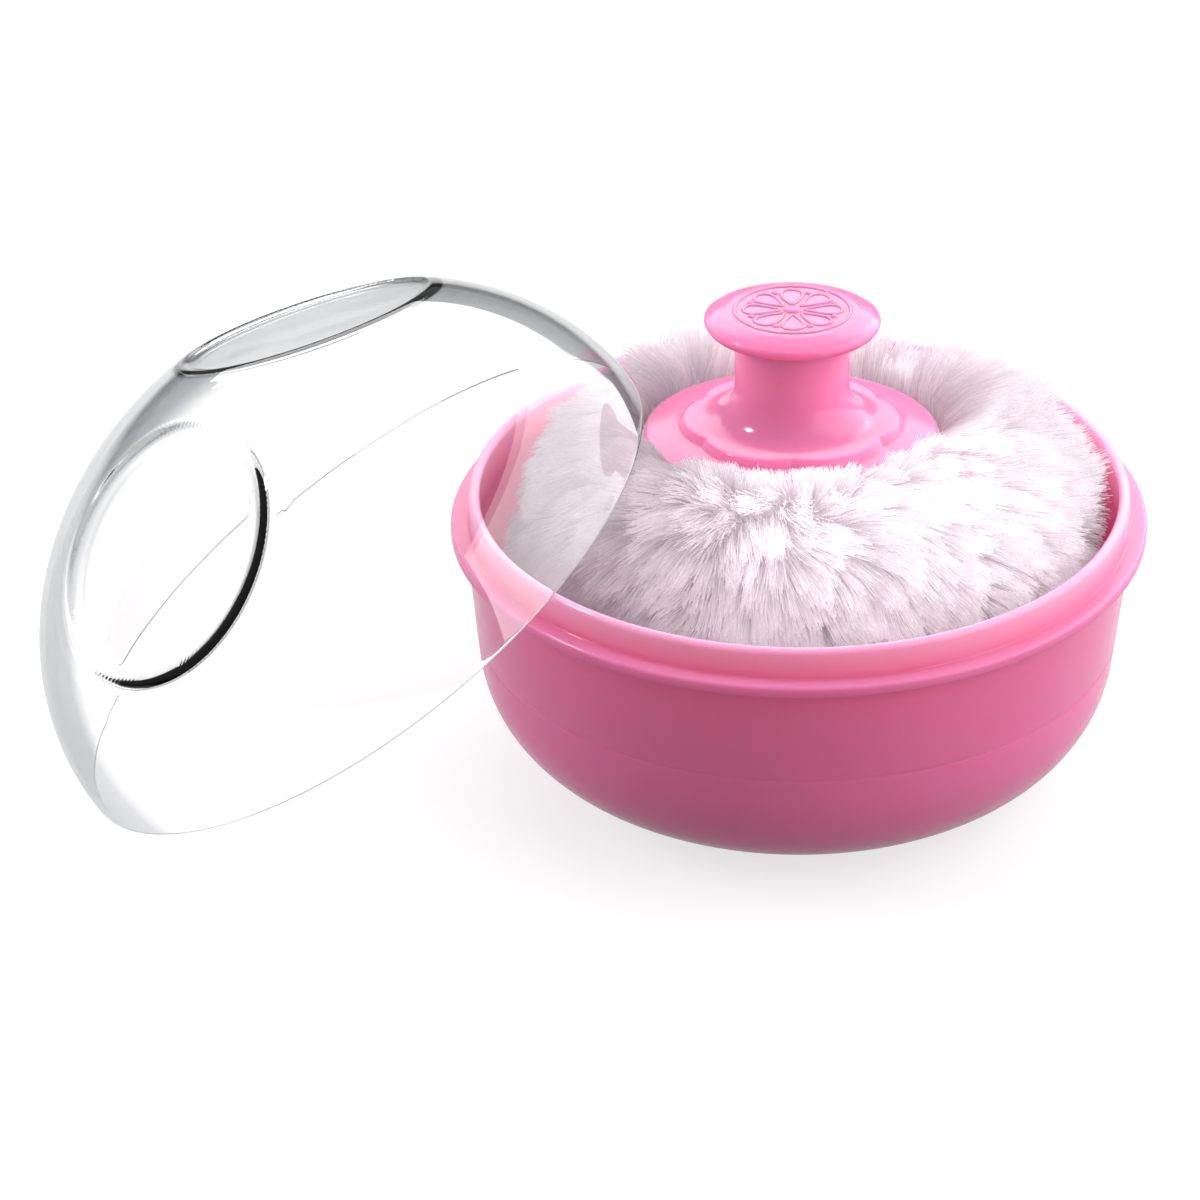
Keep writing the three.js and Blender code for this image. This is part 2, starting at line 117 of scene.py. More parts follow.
def filleted(*corners, step=math.radians(15)):
    """A profile of (radius, height, fillet) corners, with each fillet as an arc."""
    out = []
    for i, (r, z, fillet) in enumerate(corners):
        if not fillet or i in (0, len(corners) - 1):
            out.append((r, z))
            continue
        p = np.array((r, z))
        u, v = np.array(corners[i - 1][:2]) - p, np.array(corners[i + 1][:2]) - p
        lu, lv = np.linalg.norm(u), np.linalg.norm(v)
        u, v = u / lu, v / lv
        half = math.acos(max(-1, min(1, float(u @ v)))) / 2
        if half > math.pi / 2 - 0.02:
            out.append((r, z))
            continue
        reach = min(fillet / math.tan(half), 0.48 * min(lu, lv))
        radius = reach * math.tan(half)
        centre = p + (u + v) / np.linalg.norm(u + v) * radius / math.sin(half)
        a, b = p + u * reach - centre, p + v * reach - centre
        turn = math.pi - 2 * half
        steps = max(2, math.ceil(turn / step))
        for k in range(steps + 1):
            s = k / steps
            q = (math.sin((1 - s) * turn) * a + math.sin(s * turn) * b) / math.sin(turn)
            out.append(tuple(centre + q))
    return out


def ellipse(centre_r, centre_z, half_r, half_z, start, end, steps):
    """Points of an elliptic arc in a profile, with angles in degrees from the outward side."""
    angles = np.radians(np.linspace(start, end, steps + 1))
    return [(centre_r + half_r * math.cos(a), centre_z + half_z * math.sin(a)) for a in angles]


def bands(rings):
    """Faces from each ring of points to the next. A pole is a ring of one point again and again."""
    faces = []
    for a, b in zip(rings, rings[1:]):
        for k, n in enumerate([*range(1, len(a)), 0]):
            face = tuple(dict.fromkeys((a[k], a[n], b[n], b[k])))
            if len(face) > 2:
                faces.append(face)
    return faces


def turned(profile, sides, shift=None):
    """Points and faces of a profile turned about Z. A point on the axis becomes one pole."""
    points, rings = [], []
    for i, (r, z) in enumerate(profile):
        if abs(r) < 1e-9:
            rings.append([len(points)] * sides)
            points.append((0, 0, z))
            continue
        rings.append(list(range(len(points), len(points) + sides)))
        for k in range(sides):
            angle = k / sides * TAU
            rr, zz = shift(r, z, i, angle) if shift else (r, z)
            points.append((rr * math.cos(angle), rr * math.sin(angle), zz))
    return points, bands(rings)


def piece(name, points, faces, place, body, slot, mat):
    """A smooth mesh piece from points in millimetres in a group's frame, riding on a body."""
    mesh = bpy.data.meshes.new(name)
    mesh.from_pydata([place @ (Vector(p) * MM) for p in points], [], faces)
    work = bmesh.new()
    work.from_mesh(mesh)
    bmesh.ops.remove_doubles(work, verts=work.verts, dist=1e-7)
    bmesh.ops.recalc_face_normals(work, faces=work.faces)
    work.to_mesh(mesh)
    work.free()
    mesh.shade_smooth()
    made = bpy.data.objects.new(name, mesh)
    scene.collection.objects.link(made)
    if mat:
        mesh.materials.append(mat)
    if body:
        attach(made, body)
    return made


# ---- Materials ----
NOISE, MIX, RANGE = "ShaderNodeTexNoise", "ShaderNodeMix", "ShaderNodeMapRange"
MATH, VECTOR_MATH = "ShaderNodeMath", "ShaderNodeVectorMath"
SHADER, BUMP, SURFACE = "ShaderNodeBsdfPrincipled", "ShaderNodeBump", "ShaderNodeOutputMaterial"
OUT_OF_REACH = (1, 2)


def object_place(add):
    """The place on the piece in metres."""
    return add("ShaderNodeTexCoord").outputs["Object"]


def pink_polypropylene(name, deep, pale, gloss, thin=OUT_OF_REACH):
    """Moulded polypropylene: satin and a little translucent, with a faint orange peel and cloudy
    flow of the pigment. Between two heights it grows paler, as a wall does that gets thin."""
    mat, add = material(name)
    place = object_place(add)
    cloud = add(NOISE, {"Vector": place, "Scale": 30, "Detail": 2}).outputs["Fac"]
    pinks = {"Factor": cloud, "A": linear(deep), "B": linear(pale)}
    tint = add(MIX, pinks, "RGBA")
    rise = add("ShaderNodeSeparateXYZ", {"Vector": place}).outputs["Z"]
    rise = {"Value": rise, "From Min": thin[0], "From Max": thin[1], "To Max": 0.6}
    pinks = {"Factor": add(RANGE, rise), "A": tint, "B": linear("#fbc6dc")}
    tint = add(MIX, pinks, "RGBA")
    wear = add(NOISE, {"Vector": place, "Scale": 90, "Detail": 2}).outputs["Fac"]
    rough = {"Value": wear, "From Min": 0.3, "From Max": 0.7, "To Min": 0.13, "To Max": 0.18}
    rough = add(RANGE, rough)
    peel = add(NOISE, {"Vector": place, "Scale": 260, "Detail": 1}).outputs["Fac"]
    bump = add(BUMP, {"Height": peel, "Strength": 0.04, "Distance": 0.0002})
    satin = {
        "Base Color": tint,
        "Roughness": rough,
        "Normal": bump,
        "IOR": 1.49,
        "Specular IOR Level": gloss,
        "Subsurface Weight": 0.85,
        "Subsurface Radius": (1.0, 0.45, 0.6),
        "Subsurface Scale": 0.0045,
    }
    add(SURFACE, {"Surface": add(SHADER, satin)})
    return mat


def clear_polystyrene():
    """Clear moulded polystyrene: polished and colourless, greyer where the eye looks along the
    wall, with slow ripples of the melt that bend what is seen through it."""
    mat, add = material("clear_polystyrene")
    edge = add("ShaderNodeLayerWeight", {"Blend": 0.5}).outputs["Facing"]
    wall = add("ShaderNodeValToRGB", {"Fac": edge})
    wall.color_ramp.elements.new(0.62)
    greys = ((0.54, "#ffffff"), (0.62, "#b7babd"), (1.0, "#6d7073"))
    for stop, (position, code) in zip(wall.color_ramp.elements, greys):
        stop.position, stop.color = position, linear(code)
    ripple = {"Vector": object_place(add), "Scale": 45, "Detail": 1}
    ripple = add(NOISE, ripple).outputs["Fac"]
    polish = {
        "Base Color": wall.outputs["Color"],
        "Roughness": 0.01,
        "IOR": 1.59,
        "Transmission Weight": 1,
        "Normal": add(BUMP, {"Height": ripple, "Strength": 0.1, "Distance": 0.001}),
    }
    clear = add(SHADER, polish)
    ray = add("ShaderNodeLightPath").outputs
    passing = {0: ray["Is Shadow Ray"], 1: ray["Is Diffuse Ray"]}
    passing = add(MATH, passing, "MAXIMUM")
    greys = {"Factor": ray["Is Shadow Ray"], "A": linear("#fafafa"), "B": linear("#ececee")}
    grey = add(MIX, greys, "RGBA")
    through = add("ShaderNodeBsdfTransparent", {"Color": grey})
    mix = add("ShaderNodeMixShader", {0: passing, 1: clear, 2: through})
    add(SURFACE, {"Surface": mix})
    return mat


def pile_fibre():
    """Acrylic pile fibre: white, soft and light passing, pinker and darker down at its root."""
    mat, add = material("acrylic_pile_fibre")
    along = add("ShaderNodeAttribute", attribute_name="strand_tone").outputs["Fac"]
    ramp = add("ShaderNodeValToRGB", {"Fac": along})
    ramp.color_ramp.elements.new(0.5)
    for stop, code in zip(ramp.color_ramp.elements, ("#8c7f86", "#b6adb2", "#d4d0d2")):
        stop.color = linear(code)
    tint = ramp.outputs["Color"]
    matt = {"Base Color": tint, "Roughness": 0.6, "Specular IOR Level": 0.2, "Sheen Weight": 0.1}
    faint = add(VECTOR_MATH, {0: tint, "Scale": 0.4}, "SCALE")
    lit = add("ShaderNodeBsdfTranslucent", {"Color": faint})
    both = add("ShaderNodeAddShader", {0: add(SHADER, matt), 1: lit})
    add(SURFACE, {"Surface": both})
    return mat


def fine_finish(name, kind, grain, shine, tints=None, bump=None, rough=None):
    """A finish with one fine grain, which can tint it, pit it and change its gloss."""
    mat, add = material(name)
    grain = add(kind, {"Vector": object_place(add), **grain}).outputs
    grain = grain["Distance"] if "Distance" in grain else grain["Fac"]
    if tints:
        tints = {"Factor": grain, "A": linear(tints[0]), "B": linear(tints[1])}
        shine["Base Color"] = add(MIX, tints, "RGBA")
    if rough:
        rough = {"Value": grain, "To Min": rough[0], "To Max": rough[1]}
        shine["Roughness"] = add(RANGE, rough)
    if bump:
        bump = {"Height": grain, "Strength": bump[0], "Distance": bump[1]}
        shine["Normal"] = add(BUMP, bump)
    add(SURFACE, {"Surface": add(SHADER, shine)})
    return mat


PINK = pink_polypropylene("pink_polypropylene", "#e571a2", "#e978a8", 0.25, (0.0425, 0.049))
ROSE = pink_polypropylene("rose_polypropylene", "#f480ae", "#f687b4", 0.26)
CLEAR = clear_polystyrene()
FIBRE = pile_fibre()
# Knitted backing of the pile: off-white and matt, with ribs of stitches about 1 mm apart
KNIT = fine_finish(
    "knitted_backing",
    "ShaderNodeTexWave",
    {"Scale": 300, "Distortion": 2},
    {"Roughness": 0.95},
    tints=("#e6d8df", "#eee2e8"),
    bump=(0.5, 0.0003),
)
# Polyurethane foam: dull cream with open cells of about 0.6 mm that pit its cut faces
FOAM = fine_finish(
    "open_cell_foam",
    "ShaderNodeTexVoronoi",
    {"Scale": 1600},
    {"Roughness": 0.95, "Specular IOR Level": 0.2},
    tints=("#d9c9a4", "#f4ebd6"),
    bump=(0.6, 0.0004),
)
# Cotton draw cord: off-white, matt and fuzzy with fine fibres
COTTON = fine_finish(
    "twisted_cotton",
    NOISE,
    {"Scale": 2500, "Detail": 3},
    {"Roughness": 0.9, "Sheen Weight": 0.3},
    tints=("#dccfd4", "#f7f2f4"),
    bump=(0.5, 0.0001),
)
# Moulded plate: matt white, with a fine grain that changes its gloss
WHITE = fine_finish(
    "white_polypropylene",
    NOISE,
    {"Scale": 900, "Detail": 2},
    {"Base Color": linear("#efefec")},
    bump=(0.15, 0.0001),
    rough=(0.35, 0.55),
)
# Zinc-plated screw: bluish silver with a cloudy bloom that changes its gloss
ZINC = fine_finish(
    "zinc_plated_steel",
    NOISE,
    {"Scale": 700, "Detail": 4},
    {"Metallic": 1},
    tints=("#aab0b8", "#c9ccd0"),
    rough=(0.2, 0.42),
)


# ---- Bowl ----
LEDGE_RADIUS, LEDGE_HEIGHT, LEDGE_UNDER = 57.5, 44.0, 42.0
NECK_RADIUS, NECK_INNER, NECK_TOP = 54.6, 52.7, 49.2
WALL_TOP_RADIUS, FLOOR_TOP, FOOT_RISE, FOOT_WIDTH, FOOT_SHARE = 55.3, 3.6, 1.2, 4.0, 0.225
CORNER_WIDTH, CORNER_HEIGHT, BOWL_WALL = 24.0, 22.0, 2.4
LINE_HEIGHT, LINE_DEPTH, LINE_HALF = 24.2, 0.16, 0.45
DRAFT = math.tan(math.radians(7.3))


def wall_radius(z):
    """Outer radius of the drafted wall."""
    return WALL_TOP_RADIUS - DRAFT * (LEDGE_UNDER - z)


corner_end = math.degrees(math.atan(DRAFT * CORNER_HEIGHT / CORNER_WIDTH))
corner_end_radius = wall_radius(CORNER_HEIGHT * (1 - math.sin(math.radians(corner_end))))
corner_centre = corner_end_radius - CORNER_WIDTH * math.cos(math.radians(corner_end))
foot_radius = corner_centre + CORNER_WIDTH * FOOT_SHARE
corner_start = math.degrees(math.acos(FOOT_SHARE))


def sharp(points):
    """Points of a profile as corners without a fillet."""
    return [(r, z, 0) for r, z in points]


def bowl_profile():
    """Foot ring, rounded corner, drafted wall with a fine moulded line, ledge and neck."""
    middle, half = (NECK_RADIUS + NECK_INNER) / 2, (NECK_RADIUS - NECK_INNER) / 2
    corner = (corner_centre, CORNER_HEIGHT)
    inside = (CORNER_WIDTH - BOWL_WALL, CORNER_HEIGHT - FLOOR_TOP)
    under, over = LINE_HEIGHT - LINE_HALF, LINE_HEIGHT + LINE_HALF
    return filleted(
        (0, FOOT_RISE, 0),
        (foot_radius - FOOT_WIDTH, FOOT_RISE, 0.5),
        (foot_radius - FOOT_WIDTH, 0, 0.5),
        (foot_radius, 0, 0.4),
        *sharp(ellipse(*corner, CORNER_WIDTH, CORNER_HEIGHT, -corner_start, -corner_end, 28)),
        (wall_radius(under), under, 0.2),
        (wall_radius(LINE_HEIGHT) - LINE_DEPTH, LINE_HEIGHT - 0.1, 0.12),
        (wall_radius(over), over, 0.2),
        (WALL_TOP_RADIUS - 0.3, LEDGE_UNDER - 1.2, 0.6),
        (WALL_TOP_RADIUS, LEDGE_UNDER, 0.7),
        (LEDGE_RADIUS, LEDGE_UNDER, 0.55),
        (LEDGE_RADIUS, LEDGE_HEIGHT, 0.6),
        (NECK_RADIUS, LEDGE_HEIGHT, 0.4),
        *sharp(ellipse(middle, NECK_TOP - half, half, half, 0, 180, 12)),
        (NECK_INNER, LEDGE_UNDER, 0.8),
        *sharp(ellipse(*corner, *inside, -corner_end, -90, 24)),
        (0, FLOOR_TOP, 0),
    )


bowl = piece("bowl", *turned(bowl_profile(), 192), BOWL, "bowl", "pink_plastic", PINK)
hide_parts("bowl_shell")


# ---- Handle ----
SEAT, SEAT_GAP = 51.1, 0.3
FLANGE_UNDER = SEAT + SEAT_GAP
FLANGE_RADIUS, FLANGE_EDGE, FLANGE_RIM = 24.2, 1.6, 3.2
COLLAR_RADIUS, COLLAR_RISE, COLLAR_LOBES, COLLAR_DEPTH = 17.0, 1.4, 6, 1.5
COLLAR_FOOT = FLANGE_UNDER + FLANGE_EDGE + 1
STEM_RADIUS, STEM_INNER = 9.4, 7.4
STEM_TOP = FLANGE_UNDER + 18.3
WEB_TOP, WEB = STEM_TOP - 4.2, 2
BOSS_RADIUS, BORE_RADIUS, BORE_DEPTH = 4.2, 1.8, 8.3
FLARE_WIDTH, FLARE_HEIGHT = 6, 6.5


def scallop(angle):
    """How far the collar's edge stands out or in at an angle: six rounded lobes with cusps."""
    return COLLAR_DEPTH * (abs(math.cos(COLLAR_LOBES / 2 * angle)) ** 0.7 - 0.55)


def handle_stem():
    """Hollow stem with a web and a boss for the screw, flared into a flange with a collar."""
    top = COLLAR_FOOT + COLLAR_RISE
    flare = (STEM_RADIUS + FLARE_WIDTH, top + FLARE_HEIGHT, FLARE_WIDTH, FLARE_HEIGHT)
    profile = filleted(
        (0, FLANGE_UNDER + BORE_DEPTH, 0),
        (BORE_RADIUS, FLANGE_UNDER + BORE_DEPTH, 0),
        (BORE_RADIUS, FLANGE_UNDER, 0.2),
        (BOSS_RADIUS, FLANGE_UNDER, 0.2),
        (BOSS_RADIUS, WEB_TOP - WEB, 0.4),
        (STEM_INNER, WEB_TOP - WEB, 0.6),
        (STEM_INNER, top + FLARE_HEIGHT / 2, 2),
        (STEM_RADIUS + 4, top - 2, 2),
        (FLANGE_RADIUS - FLANGE_RIM, COLLAR_FOOT - 2, 0.8),
        (FLANGE_RADIUS - FLANGE_RIM, FLANGE_UNDER, 0.3),
        (FLANGE_RADIUS - 0.1, FLANGE_UNDER, 0.5),
        (FLANGE_RADIUS, FLANGE_UNDER + FLANGE_EDGE, 0.7),
        (COLLAR_RADIUS + 3.2, COLLAR_FOOT - 0.25, 1.5),
        (COLLAR_RADIUS + 0.9, COLLAR_FOOT, 0.35),
        (COLLAR_RADIUS, top, 0.55),
        *sharp(ellipse(*flare, 268, 181, 14)),
        (STEM_RADIUS, STEM_TOP, 0.3),
        (STEM_INNER, STEM_TOP, 0.3),
        (STEM_INNER, WEB_TOP, 0.4),
        (0, WEB_TOP, 0),
    )

    def shift(r, z, i, angle):
        if z <= COLLAR_FOOT - 0.5 or r <= 14:
            return r, z
        near = math.exp(-(((r - COLLAR_RADIUS - 0.3) / 1.7) ** 2))
        return r + near * scallop(angle), z

    return turned(profile, 144, shift)


stem = piece("grip_stem", *handle_stem(), PUFF, "puff", "pink_plastic", ROSE)
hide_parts("handle_stem")

HEAD_UNDER = STEM_TOP + SEAT_GAP
HEAD_TOP = HEAD_UNDER + 4.5
HEAD_RADIUS, SPIGOT_RADIUS, SPIGOT = 14.5, STEM_INNER - SEAT_GAP, 3.8
ROSETTE_RADIUS = 9.8


def head_profile():
    """Domed button on a spigot: rounded lip, soft fall of the top from its flat middle."""
    waist = HEAD_UNDER + 2.25
    shoulder = HEAD_TOP - 0.7
    return filleted(
        (0, HEAD_UNDER - SPIGOT, 0),
        (SPIGOT_RADIUS, HEAD_UNDER - SPIGOT, 0.4),
        (SPIGOT_RADIUS, HEAD_UNDER, 0.1),
        (STEM_RADIUS + 1.1, HEAD_UNDER, 0.35),
        (STEM_RADIUS + 1.5, HEAD_UNDER + 0.8, 0.8),
        (HEAD_RADIUS - 0.85, waist - 0.85, 1.2),
        (HEAD_RADIUS, waist + 0.3, 1.0),
        (HEAD_RADIUS - 0.1, shoulder - 0.6, 1.1),
        (HEAD_RADIUS - 1.3, shoulder + 0.02, 1.2),
        (ROSETTE_RADIUS + 0.9, HEAD_TOP - 0.02, 3),
        (ROSETTE_RADIUS - 1, HEAD_TOP, 1),
        (0, HEAD_TOP, 0),
        step=math.radians(10),
    )


head = piece("grip_head", *turned(head_profile(), 144), PUFF, "puff", "pink_plastic", ROSE)
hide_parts("knob_head")


CIRCLE, SPHERE = "GeometryNodeCurvePrimitiveCircle", "GeometryNodeMeshUVSphere"
REALIZE, ON_POINTS = "GeometryNodeRealizeInstances", "GeometryNodeInstanceOnPoints"


def geometry_tree(name, sizes, result):
    """An empty geometry tree, the function that adds its nodes, and its inputs, from their names
    and kinds."""
    tree = bpy.data.node_groups.new(name, "GeometryNodeTree")
    for size, kind in sizes.items():
        tree.interface.new_socket(size, in_out="INPUT", socket_type="NodeSocket" + kind)
    tree.interface.new_socket(result, in_out="OUTPUT", socket_type="NodeSocketGeometry")
    add = adder(tree)
    return tree, add, add("NodeGroupInput").outputs


def rosette_tree():
    """Raised lines of a rosette: looped petals, pearls between them, a ring and a button."""
    radii = ("Ring radius", "Button radius", "Line radius")
    sizes = dict.fromkeys(("Inner end", "Outer end", "Half width", *radii), "Float")
    sizes |= {"Petals": "Int", "Plastic": "Material"}
    tree, add, given = geometry_tree("rosette_lines", sizes, "Relief")
    # One petal is a circle drawn out along X, wider towards its outer end
    loop = add(CIRCLE, {"Resolution": 18, "Radius": 1.0})
    part = add("ShaderNodeSeparateXYZ", {"Vector": add("GeometryNodeInputPosition")})
    share = {"Value": part.outputs["X"], "From Min": -1.0, "From Max": 1.0}
    share = add(RANGE, share)
    far = {"Value": share, "To Min": given["Inner end"], "To Max": given["Outer end"]}
    far = add(RANGE, far)
    wide = add(RANGE, {"Value": share, "To Min": 0.25, "To Max": 1.1})
    for factor in (given["Half width"], part.outputs["Y"]):
        wide = add(MATH, {0: wide, 1: factor}, "MULTIPLY")
    spot = add("ShaderNodeCombineXYZ", {"X": far, "Y": wide})
    loop = add("GeometryNodeSetPosition", {"Geometry": loop, "Position": spot})
    circle = add(CIRCLE, {"Resolution": 72, "Radius": given["Ring radius"]})
    line = add(CIRCLE, {"Resolution": 6, "Radius": given["Line radius"]})
    petal, ring = (
        add("GeometryNodeCurveToMesh", {"Curve": curve, "Profile Curve": line})
        for curve in (loop, circle)
    )
    pearl = add(SPHERE, {"Segments": 10, "Rings": 6, "Radius": given["Line radius"]})
    gap = add(MATH, {0: given["Outer end"], 1: 0.9}, "MULTIPLY")
    spot = add("ShaderNodeCombineXYZ", {"X": gap})
    pearl = {"Geometry": pearl.outputs["Mesh"], "Translation": spot, "Scale": (1.9, 1.9, 1.3)}
    pearl = add("GeometryNodeTransform", pearl)
    button = add(SPHERE, {"Segments": 24, "Rings": 10, "Radius": given["Button radius"]})
    button = {"Geometry": button.outputs["Mesh"], "Scale": (1.0, 1.0, 0.35)}
    shapes = [ring, add("GeometryNodeTransform", button)]
    spots = add("GeometryNodePoints", {"Count": given["Petals"]})
    step = add(MATH, {0: TAU, 1: given["Petals"]}, "DIVIDE")
    for shape, start in ((petal, 0.0), (pearl, 0.5)):
        place = {0: add("GeometryNodeInputIndex"), 1: start}
        place = add(MATH, place, "ADD")
        turn = add(MATH, {0: place, 1: step}, "MULTIPLY")
        turn = add("ShaderNodeCombineXYZ", {"Z": turn})
        row = add(ON_POINTS, {"Points": spots, "Instance": shape, "Rotation": turn})
        shapes.append(add(REALIZE, {"Geometry": row}))
    joined = add("GeometryNodeJoinGeometry")
    for shape in shapes:
        tree.links.new(shape.outputs[0], joined.inputs["Geometry"])
    relief = add(REALIZE, {"Geometry": joined})
    relief = add("GeometryNodeSetShadeSmooth", {"Geometry": relief})
    relief = {"Geometry": relief, "Material": given["Plastic"]}
    add("NodeGroupOutput", {"Relief": add("GeometryNodeSetMaterial", relief)})
    return tree


def through_tree(obj, tree, values):
    """Runs a geometry tree on an object and leaves its result as a plain mesh."""
    modifier = obj.modifiers.new("shape", "NODES")
    modifier.node_group = tree
    for item in tree.interface.items_tree:
        if item.in_out == "INPUT" and item.name in values:
            modifier[item.identifier] = values[item.name]
    bpy.context.view_layer.update()
    evaluated = obj.evaluated_get(bpy.context.evaluated_depsgraph_get())
    mesh = bpy.data.meshes.new_from_object(evaluated)
    obj.modifiers.clear()
    obj.data = mesh


rosette = piece("grip_rosette", [], [], PUFF, None, None, None)
through_tree(
    rosette,
    rosette_tree(),
    {
        "Petals": 8,
        "Inner end": 2.1 * MM,
        "Outer end": 8.1 * MM,
        "Half width": 2.35 * MM,
        "Ring radius": 9.5 * MM,
        "Button radius": 1.5 * MM,
        "Line radius": 0.33 * MM,
        "Plastic": ROSE,
    },
)
rosette.data.transform(PUFF @ Matrix.Translation((0, 0, HEAD_TOP * MM)))
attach(rosette, "puff")
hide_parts("knob_head")


# ---- Lid ----
LID_RADIUS, LID_HEIGHT, LID_WALL, RIM_EDGE = 56.369, 47.3, 2.2, 0.9
INNER_RADIUS, INNER_HEIGHT = 55.369, 45.1
# The two finger recesses: tilt and turn of the axis, and the floor's depth under the dome
PAD_PLACES = ((29, 243.2, 5.2), (22.5, 47, 4.5))
PAD_RADIUS, PAD_FLARE, PAD_BEND = 19.9, 2.3, 61.0
FLOOR_ROUNDING, CREST_ROUNDING = 0.4, 0.6
CORE_DRIFT = (-0.46, 1.42, -0.66)
LID_SIDES, LID_ROWS = 288, 34


def pad_frame(tilt, turn, sink):
    """A pad's axes, its offset across its own axis, its floor's distance from the rim's centre,
    and how far that floor lies under the dome."""
    tilt, turn = math.radians(tilt), math.radians(turn)
    axes = Matrix.Rotation(turn, 3, "Z") @ Matrix.Rotation(tilt, 3, "Y")
    reach = math.hypot(LID_RADIUS * math.sin(tilt), LID_HEIGHT * math.cos(tilt))
    flat = (LID_RADIUS**2 - LID_HEIGHT**2) * math.sin(tilt) * math.cos(tilt)
    return np.array(axes), flat / reach, reach - sink, sink


PADS = [pad_frame(*place) for place in PAD_PLACES]


def soft_less(a, b, radius):
    """The lesser of two distances, with a rounded joint."""
    h = np.clip(0.5 + 0.5 * (b - a) / radius, 0, 1)
    return b + (a - b) * h - radius * h * (1 - h)


def dome_radii(inset):
    """Radius and height of the dome, or of its inner face for an inset."""
    return (INNER_RADIUS, INNER_HEIGHT) if inset else (LID_RADIUS, LID_HEIGHT)


def pad_floor(inset):
    """Radius of a recess's floor, a little more on the inner face."""
    return PAD_RADIUS + inset * (math.hypot(1, PAD_FLARE) - PAD_FLARE)


def pad_centre(axes, offset, inset):
    """A recess's centre across its axis; inside the lid the mould's core stood off a little."""
    drift = np.array(CORE_DRIFT) @ axes * (1 if inset else 0)
    return np.array((offset + drift[0], drift[1]))


def dome_distance(p, inset):
    """About how far points lie outside the dome, or outside its inner face for an inset."""
    across, high = dome_radii(inset)
    radii = np.array((across, across, high))
    k0 = np.linalg.norm(p / radii, axis=1)
    k1 = np.linalg.norm(p / radii**2, axis=1)
    body = k0 * (k0 - 1) / k1
    slant = math.hypot(1, PAD_FLARE)
    for axes, offset, reach, sink in PADS:
        local = p @ axes
        deep = local[:, 2] - reach + inset
        away = np.linalg.norm(local[:, :2] - pad_centre(axes, offset, inset), axis=1)
        wall = (away - pad_floor(inset) - PAD_FLARE * deep) / slant
        sunk = -soft_less(-wall, deep, FLOOR_ROUNDING)
        body = -soft_less(-body, sunk, CREST_ROUNDING)
    return body


def on_dome(directions, inset):
    """The dome's points in these directions from the rim's centre."""
    near, far = np.full(len(directions), 30.0), np.full(len(directions), 70.0)
    for _ in range(40):
        middle = (near + far) / 2
        outside = dome_distance(directions * middle[:, None], inset) > 0
        far = np.where(outside, middle, far)
        near = np.where(outside, near, middle)
    return directions * near[:, None]


def dome_skin(inset):
    """Points and triangles of the dome above a level ring, which comes first. Rings of points
    follow the edges of the recesses, so that these stay round and even."""
    radii = dome_radii(inset)
    radius = pad_floor(inset)
    rim = math.atan2(radii[0] * math.sqrt(1 - (RIM_EDGE / radii[1]) ** 2), RIM_EDGE)
    flat = []

    def put(spherical, azimuth):
        flat.append((spherical * math.cos(azimuth), spherical * math.sin(azimuth)))

    for k in range(LID_SIDES):
        put(rim, k / LID_SIDES * TAU)
    steps = [
        *np.linspace(1.5, radius - 1.5, 9),
        *np.linspace(radius - 0.9, radius, 5)[:-1],
        *np.linspace(radius, radius + 3.8, 18),
        *np.linspace(radius + 4.2, radius + 6.4, 5),
    ]
    for axes, offset, reach, sink in PADS:
        face = reach - inset
        middle = pad_centre(axes, offset, inset)
        centre = axes @ np.array((*middle, face))
        put(math.acos(centre[2] / np.linalg.norm(centre)), math.atan2(centre[1], centre[0]))
        for s in steps:
            count = max(8, round(TAU * s / 0.9))
            rise = min(max(0, s - radius) / PAD_FLARE, sink - s**2 / (2 * (PAD_BEND - inset)))
            for k in range(count):
                a = k / count * TAU
                spot = middle + s * np.array((math.cos(a), math.sin(a)))
                q = axes @ np.array((*spot, face + rise))
                put(math.atan2(math.hypot(q[0], q[1]), q[2]), math.atan2(q[1], q[0]))
    for i in range(LID_ROWS):
        angle = rim * (i + 0.5) / (LID_ROWS + 0.35)
        level, up = math.sin(angle), math.cos(angle)
        length = 1 / math.sqrt((level / radii[0]) ** 2 + (up / radii[1]) ** 2)
        count = max(6, round(LID_SIDES * 0.75 * level))
        for k in range(count):
            a = (k + 0.5 * (i % 2)) / count * TAU
            point = np.array((level * math.cos(a), level * math.sin(a), up)) * length
            clear = math.inf
            for axes, offset, reach, sink in PADS:
                *across, deep = point @ axes
                if deep > 0:
                    clear = min(clear, math.dist(across, pad_centre(axes, offset, inset)))
            if clear > radius + 7.3:
                put(angle, a)
    keep = [f for i, f in enumerate(flat) if i < LID_SIDES or math.hypot(*f) < rim - 0.012]
    edges = [(k, (k + 1) % LID_SIDES) for k in range(LID_SIDES)]
    found = delaunay_2d_cdt([Vector(f) for f in keep], edges, [], 1, 1e-6)
    places = np.array([tuple(v) for v in found[0]])
    angle = np.hypot(places[:, 0], places[:, 1])
    turn = np.arctan2(places[:, 1], places[:, 0])
    ways = (np.sin(angle) * np.cos(turn), np.sin(angle) * np.sin(turn), np.cos(angle))
    points = on_dome(np.stack(ways, 1), inset)
    points[:LID_SIDES, 2] = RIM_EDGE
    return points, [tuple(f) for f in found[2]]


